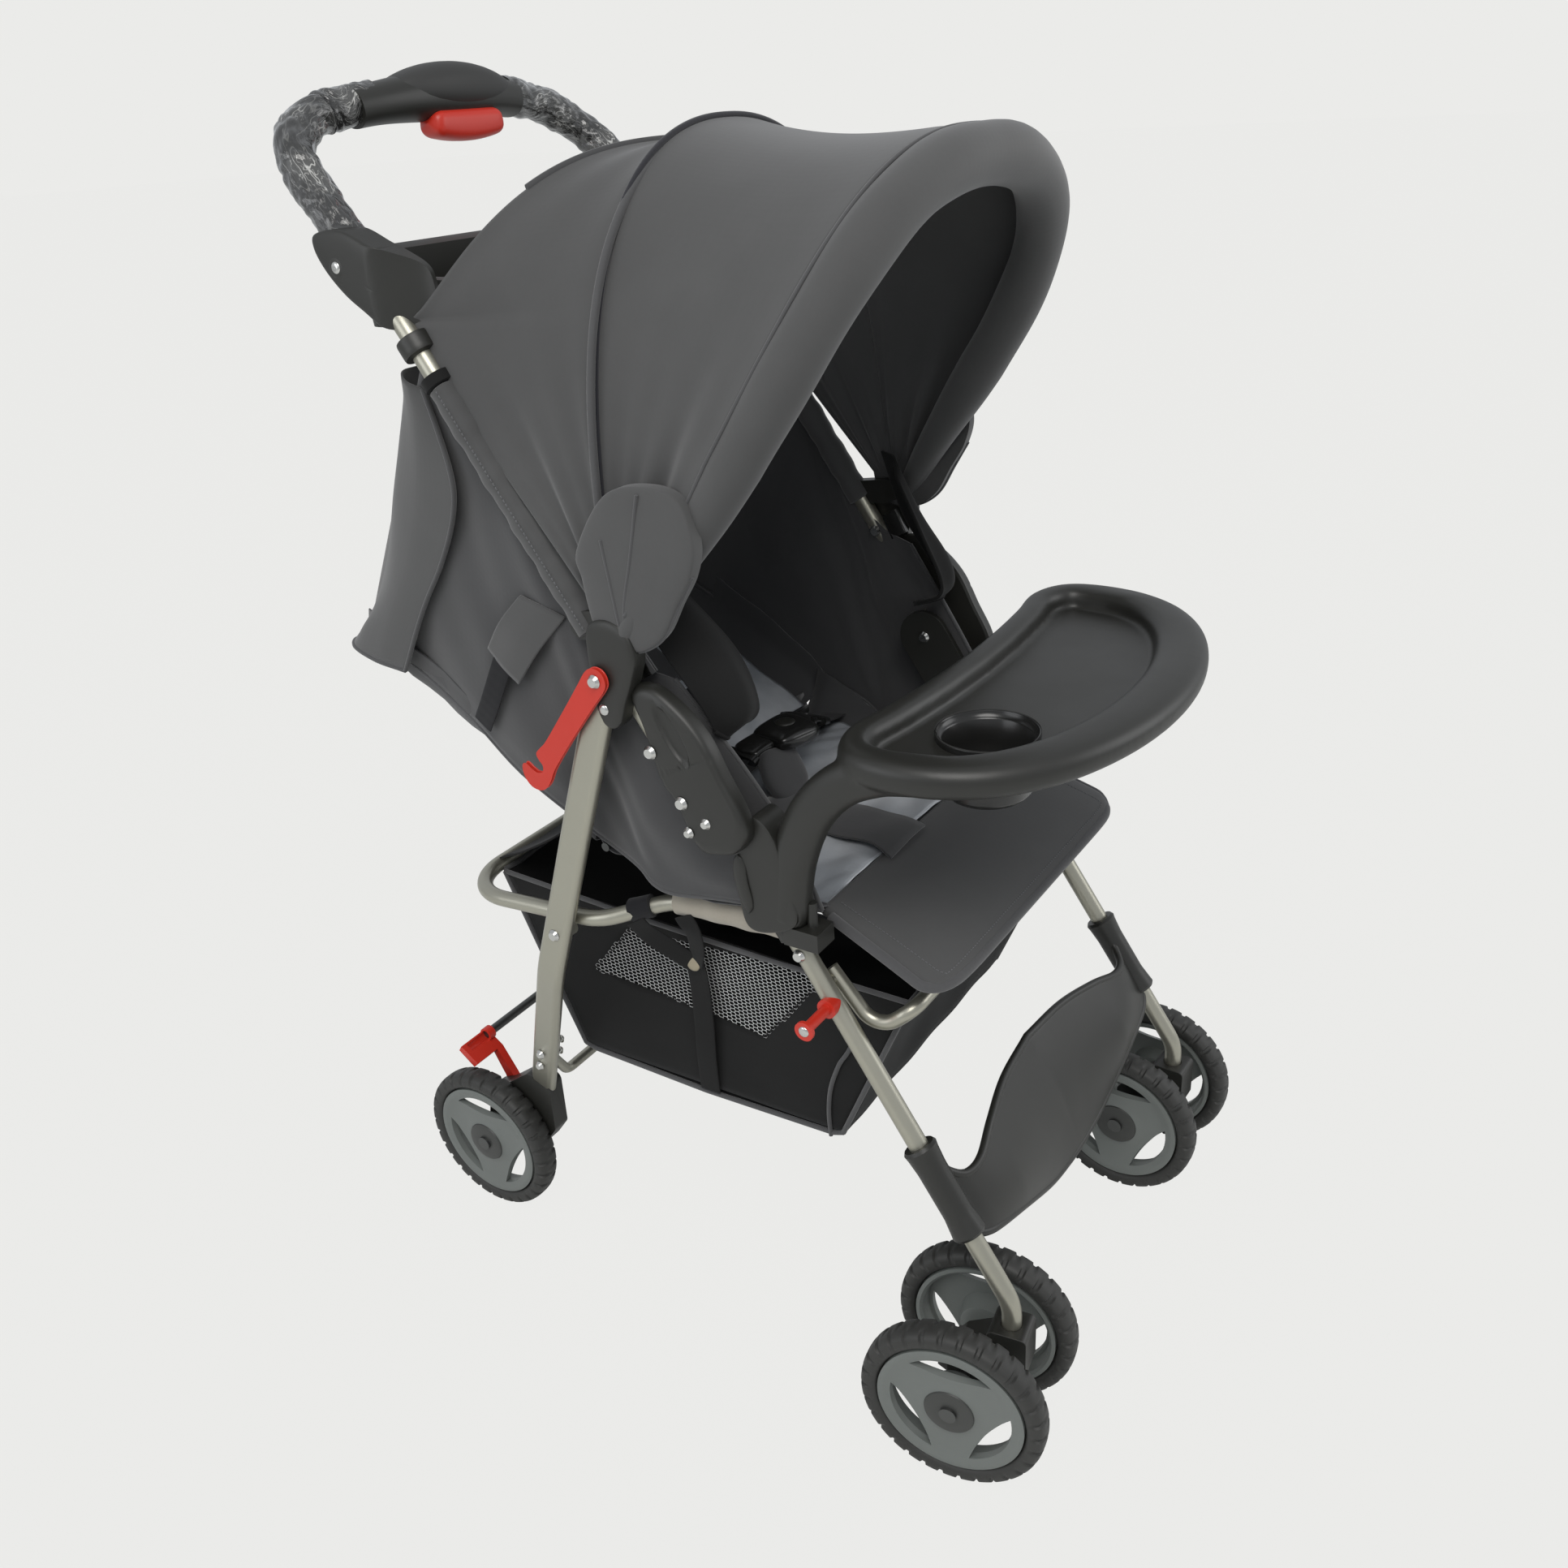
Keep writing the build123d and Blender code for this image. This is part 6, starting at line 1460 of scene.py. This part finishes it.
band_rows = [[(-70, y, 453.5), (-56, y, 455), (-40, y, 455.6), (-24, y, 455), (-14, y, 453.5)] for y in (-6,
    -40, -75, -105, -128)]
band_rows.append([(-74, -146, 448), (-56, -147, 450), (-40, -147, 450.5), (-24, -147, 450),
    (-14, -146, 448)])
band = grid_through(band_rows, 50, 15)
band[..., 2] += 0.8 * np.sin(band[..., 1] / 9 + band[..., 0] / 17)
made = skin("seat_band", band, charcoal_dark, "root", thick=1.6, crease=0)

# %% Webbing
def strap(name, path, normal, body, wide=24.0, thick=1.9, finish=None):
    """Flat webbing: a rounded oblong section whose broad side faces `normal`."""
    path = even(through(path, 120), 80)
    ahead = unit(np.gradient(path, axis=0))
    across = np.cross(ahead, unit(np.broadcast_to(np.asarray(normal, float), path.shape)))
    grid = rings(path, across, wide / 2, thick / 2, 20, 5.0)
    return skin(name, grid, finish or webbing, body, close_v=True, caps=True, crease=50)


for n, (side, sign) in enumerate((("right", -1), ("left", 1))):
    made = strap("shoulder_strap_" + side,
        [tuple(on_back(sign * 46, d, h)) for d,
            h in ((225, 5), (215, 14), (160, 13.5), (100, 14.5), (55, 20), (24, 30))], back_out, "backrest")
    pad = strap("shoulder_pad_" + side,
        [tuple(on_back(sign * 46, d, h)) for d, h in ((208, 17), (170, 19), (120, 18), (92, 18))], back_out,
            "backrest", wide=34, thick=6, finish=charcoal_dark)
    waist = strap("waist_strap_" + side,
        [(sign * 156, 44, 449), (sign * 120, 38, 458), (sign * 80, 30, 474), (10 + sign * 46, 22, 487),
            (10 + sign * 24, 16, 493)], (0, 0.1, 1), "root")
    if n == 0:
        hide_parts("shoulder_straps")
        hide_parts("waist_straps")
    tube("waist_slide_" + side, np.array([(sign * 92, 33, 471), (sign * 106, 37, 465.5)], float), (0, 1, 0),
        17, 3.8, gloss_black, "root", sides=24, power=5)
    prong_line = through([(10 + sign * 46, 21, 488), (10 + sign * 36, 19, 491), (10 + sign * 24, 16, 493),
        (10 + sign * 14, 14, 494)], 16)
    tube("buckle_prong_" + side, prong_line, (0, 1, 0), 14.5 * end_round(16, 0.2), 6.0, gloss_black, "root",
        sides=24, power=3.5)
    tube("prong_bar_" + side, np.array([(10 + sign * 43, 21, 489), (10 + sign * 49, 22, 487)], float),
        (0, 1, 0), 17.5, 4.4, gloss_black, "root", sides=24, power=5)
strap("crotch_strap", [(-10, -34, 450), (-10, -14, 458), (-6, 0, 474), (4, 2, 488), (9, 8, 493)],
    (0, -1, 0.6), "root")
pad_line = through([(-17, -22, 450), (-17, -15, 458), (-16, -7, 470), (-14, 0, 483), (-12, 4, 490)], 40)
crotch_pad = tube("crotch_pad", pad_line, (1, 0, 0), 27 * end_round(40, 0.5) ** 0.8,
    8.5 * end_round(40, 0.25), charcoal_dark, "root", sides=40, power=2.6)
housing_line = through([(6, -18, 493), (8, -8, 495.5), (10, 6, 497), (12, 20, 496), (13, 28, 493)], 30)
housing = tube("buckle_housing", housing_line, (1, 0, 0), 25 * end_round(30, 0.25) ** 0.7,
    9.0 * end_round(30, 0.3), gloss_black, "root", sides=40, power=3.0)
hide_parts("buckle")
dome("buckle_button", (10, 6, 505.5), (0, 0.05, 1), 9.5, 2.6, black_plastic, "root", dish=0.8)

# %% Strap guides and straps outside the side panels
guide = grid_through(
    [[(-199, 100, 676), (-200, 79, 671), (-199, 57, 664)],
        [(-202, 123, 652), (-203, 104, 643), (-201, 87, 633)],
            [(-198, 144, 626), (-199, 130, 612), (-198, 116, 600)]],
    30, 20,
)
for side, grid in both(guide):
    made = skin("recline_guide_" + side, grid, charcoal, "handle", thick=1.6, crease=0)
    "side_panel_" + side
    mirror = -1.0 if side == "left" else 1.0
    strap("recline_strap_" + side,
        [(-199 * mirror, 122, 630), (-198 * mirror, 138, 602), (-195 * mirror, 155, 575),
            (-190 * mirror, 172, 552)], (-mirror, 0, 0), "handle", wide=19)
    tube("recline_adjuster_" + side, np.array([(-196 * mirror, -2, 648), (-193 * mirror, -14, 628)], float),
        (0, 1, 0.4), 8.5, 4.0, gloss_black, "handle", sides=20, power=5)

# %% Sleeve and straps on the seat bar
bar_line = np.array([(-165, -104, 421.5), (-165, -60, 419), (-165, -20, 417), (-166, 3, 415.5)])
for side, path in both(even(through(bar_line, 60), 50)):
    tube("bar_sleeve_" + side, path, (1, 0, 0), 10.4 + 0.5 * np.sin(np.linspace(0, 24, 50)),
        11.2 + 0.5 * np.cos(np.linspace(0, 19, 50)), sleeve_cloth, "seat_bar", sides=24)
for side, sign in (("right", -1), ("left", 1)):
    x = sign * 178
    tube("basket_loop_" + side, np.array([(sign * 177, 22, 411.5), (sign * 183, 40, 405.5)], float),
        (0, 0, 1), 9.4, 9.0, webbing, "seat_bar", sides=24, power=2.4)
    strap("basket_strap_rear_" + side,
        [(sign * 188, 33, 399), (sign * 182, 26, 386), (sign * 171, 10, 368), (sign * 161, -2, 353)],
            (sign, 0, 0.3), "root", wide=19, finish=black_cloth)
    strap("basket_strap_front_" + side,
        [(sign * 176, -8, 409), (sign * 173, -14, 394), (sign * 167, -12, 374), (sign * 161, -4, 354)],
            (sign, 0, 0.3), "root", wide=17, finish=black_cloth)
    strap("basket_strap_" + side, [(sign * 160.5, -2, 360), (sign * 154.5, -1, 332), (sign * 153, -1, 290),
        (sign * 154, -1, 250), (sign * 153, -1, 214)], (sign, 0, 0), "root", wide=21, finish=black_cloth)
    dome("basket_snap_" + side, (sign * 162.4, -3, 354), (sign, 0, 0.1), 7.2, 2.4, brass, "root", dish=1.2,
        sides=32)

# %% Hook, peg and corner bindings of the basket
hook_outline = [
    (0, 9.5), (-7, 6.5), (-9.8, 0), (-7, -6.5), (0, -9.5), (20, -8.8), (60, -8), (95, -8.5), (112, -11),
        (122, -9), (127.5, -1), (126, 8),
    (120, 14.5), (115.5, 14), (115, 7), (113.4, 1.4), (107.8, -2.4), (102.2, 0.4), (100.6, 6), (98, 10),
        (91, 9.5), (80, 8.2), (40, 8.6), (15, 9.2),
]
run, side_way = np.array([0.610, -0.792]), np.array([0.792, 0.610])
hook_flat = [tuple(np.array([11.8, 630.0]) + a * run + b * side_way) for a, b in hook_outline]
hook_loop = through(hook_flat, 260, closed=True)
hook_grid = np.stack([np.concatenate([np.full((260, 1), x), hook_loop], 1) for x in (-221.9, -226.0)])
hook = skin("latch_hook_moulded", hook_grid, red_plastic, "latch", close_v=True, caps=True, crease=40)
hook_edge = hook.modifiers.new("edges", "BEVEL")
hook_edge.width, hook_edge.segments, hook_edge.limit_method, hook_edge.angle_limit = 0.8 * MM, 3, "ANGLE", math.radians(60)
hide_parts("latch_hook")
dome("hook_rivet", (-226.0, 11.8, 630.0), (-1, 0, 0), 5.4, 2.6, bright_steel, "latch", dish=0.4, sides=32)
peg_place = np.array([0, -156.1, 380.0])
dome("peg_rivet", peg_place + [-229.6, 0, 0], (-1, 0, 0), 4.6, 2.2, bright_steel, "root", dish=0.4,
    sides=28)
for side, sign in (("right", -1), ("left", 1)):
    corner = through([(sign * 151.5, -158, 334), (sign * 151.5, -146, 307), (sign * 151.5, -136, 289),
        (sign * 151.5, -127, 262), (sign * 151.5, -124, 235), (sign * 151.5, -125, 212)], 60)
    piping("basket_corner_binding_" + side, corner, "root", r=1.9)

# %% [markdown]
# ## Forks, brackets and handle
# Each tray socket has a fork that runs up behind the tray's arm to the hinge cover. The parent's tray
# hangs on two brackets that flow down from its rim along the handle. The foam grips are wrapped in clear
# film, creased where it was pulled tight: its radius varies by folded sines of angle and length. Its colour
# carries painted highlights and painted sheen: pale thin ridges of a noise and pale patches.

# %% Forks and brackets
def into_tray(p):
    """Forward of the handle the bracket runs into the tray's side wall: x is capped by a smooth step of y."""
    k = np.clip((p[..., 1] - 150) / 48, 0, 1)
    cap = 189.0 + 23.0 * k * k * (3 - 2 * k)
    return np.stack([np.sign(p[..., 0]) * np.minimum(abs(p[..., 0]), cap), p[..., 1], p[..., 2]], -1)


fork = [(-106, 534), (-95, 526), (-84, 494), (-86, 458), (-93, 437), (-114, 438), (-136, 452), (-132, 480),
    (-120, 520)]
bracket = [(243, 934), (247, 924), (238, 908), (222, 892), (204, 880), (188, 870), (172, 867), (156, 867),
    (150.5, 871), (150, 885), (150.5, 900), (156, 911), (174, 920), (190, 926), (216, 936)]
for sign, side in ((1, "left"), (-1, "right")):
    bulged("socket_fork_" + side, fork, sign * 199.5, sign * 202.5, black_plastic, "root",
        base=sign * 176.0, power=6.0)
    tube("socket_ridge_" + side, through([(sign * 201, -88, 500), (sign * 203, -90, 478), (sign * 202, -96,
        452)], 20), (0, 1, 0), 6 * end_round(20, 0.3), 3.0, black_plastic, "root", sides=20)
    bulged("tray_bracket_" + side, bracket, sign * 207.5, sign * 211.5, black_plastic, "handle",
        base=sign * 185.5, power=4.0, rings_in=22, middle=(190, 895), press=into_tray)
    dome("bracket_rivet_" + side, (sign * 211.4, 224, 911), (sign, 0, 0), 4.4, 2.0, bright_steel, "handle",
        dish=0.5)
    dome("bracket_boss_" + side, (sign * 210.4, 224, 911), (sign, 0, 0), 8.5, 1.6, black_plastic, "handle",
        dish=0.0)

# %% Grips in clear film
wrap = Finish("film_wrap", Coat_Weight=0.9, Coat_Roughness=0.07, Specular_IOR_Level=0.55)
crease_a = wrap.noise(30.0, 2.0, 0.45, uv=True, stretch=(1.0, 3.2, 1))
crease_b = wrap.noise(64.0, 2.0, 0.5, uv=True, stretch=(1.0, 2.4, 1))
# The pale thin ridges and pale patches mixed into the film's colour are painted highlights and painted sheen of the
# clear film over the black foam.
ridge_a = ((crease_a - 0.5).math("ABSOLUTE") * -1.0 + 0.020).between(0.0, 0.020)
ridge_b = ((crease_b - 0.53).math("ABSOLUTE") * -1.0 + 0.016).between(0.0, 0.016)
painted_sheen_patch = wrap.noise(22.0, 2.0, 0.5, uv=True).between(0.46, 0.66)
film_painted_highlight = ridge_a * (painted_sheen_patch * 0.55 + 0.12) + ridge_b * (painted_sheen_patch * 0.55) + painted_sheen_patch * 0.07
wrap.put(wrap.shader, {"Base Color": wrap.mix(film_painted_highlight, ink("222221"), ink("cfcfcb")),
    "Roughness": 0.26 - 0.08 * ridge_a})
wrap.bump(crease_a * 1.2 + crease_b * 0.8, 0.8, 0.006)
grip_line = through([(-184.2, 240.3, 930.2), (-179.5, 261, 949.8), (-174.5, 282.7, 970.6),
    (-167.0, 298.5, 986.5), (-153.9, 307.7, 998.1), (-135.5, 313.2, 1008.2), (-114.8, 313.8, 1013.4),
        (-98, 311.8, 1015.9), (-86, 309.5, 1018.5), (-74, 307.5, 1020)], 160)
foot_line = np.array([(-191.5, 208.5, 900.0), (-187.5, 226, 917.0), (-184.2, 240.3, 930.2)])
grip_line = even(np.concatenate([through(foot_line, 12)[:-1], grip_line]), 170)
for k, (side, path) in enumerate(both(grip_line)):
    grid = rings(path, (1, 0, 0.2), 14.8, 14.8, 40, 2.0)
    middle = path[:, None, :]
    turn, run = np.meshgrid(np.linspace(0, 2 * pi, grid.shape[1], endpoint=False),
        np.linspace(0, 17, grid.shape[0]))
    fold = (
        1.1 * abs(np.sin(3 * turn + 1.7 * run + 1.2 * np.sin(2.3 * run)))
        + 0.8 * np.sin(5 * turn - 3.1 * run) * np.sin(1.9 * run) + 0.8 * np.sin(1.3 * run + 2 * turn)
    )
    ends = np.clip(np.minimum(run, 17 - run) / 0.5, 0, 1)
    grid = middle + (grid - middle) * (1 + (fold * ends - 0.4)[..., None] / 15)
    made = skin("grip_" + side, grid, wrap, "handle", close_v=True, caps=True, crease=0)
    if k == 0:
        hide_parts("grips")

# %% Fold module and trigger
def module_path(x0, x1, count, drop=0.0):
    """Points along the crown of the handle: 300 mm back, bowed down and back towards its ends."""
    x = np.linspace(x0, x1, count)
    return np.stack([x, 303 + 6.5 * (x / 90) ** 2, 1022.5 - 5.5 * (x / 90) ** 2 - drop], -1)


core = tube("module_core", module_path(-94, 82, 80, 2.0), (0, 1, 0),
    17.5 + 2.5 * np.cos(np.linspace(-pi / 2, pi / 2, 80)),
        15.0 + 4.0 * np.cos(np.linspace(-pi / 2, pi / 2, 80)) ** 2, black_plastic, "handle", sides=40,
            power=2.3)
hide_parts("grip_module_lower")
swell = np.cos(np.linspace(-pi / 2 * 0.985, pi / 2 * 0.985, 90))
shell = tube("module_shell", module_path(-66, 80, 90, -4.5), (0, 1, 0), 23.0 * swell**0.32,
    19.0 * swell**0.55, plastic("module_shell", "2c2c2b", rough=0.55, grain=0.35), "handle", sides=44,
        power=2.4)
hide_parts("grip_module_upper")
trigger_x = np.linspace(-41, 41, 50)
trigger_line = np.stack([trigger_x + 9, np.full(50, 294.0), 1000.5 - 2.5 * (1 - (trigger_x / 41) ** 2)], -1)
trigger = tube("trigger_bar", trigger_line, (0, 1, 0), 13.0 * end_round(50, 0.12) ** 0.6,
    (9.5 + 3.0 * (1 - (trigger_x / 41) ** 2)) * end_round(50, 0.12) ** 0.7, red_plastic, "trigger",
        sides=36, power=3.2)
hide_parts("fold_trigger")
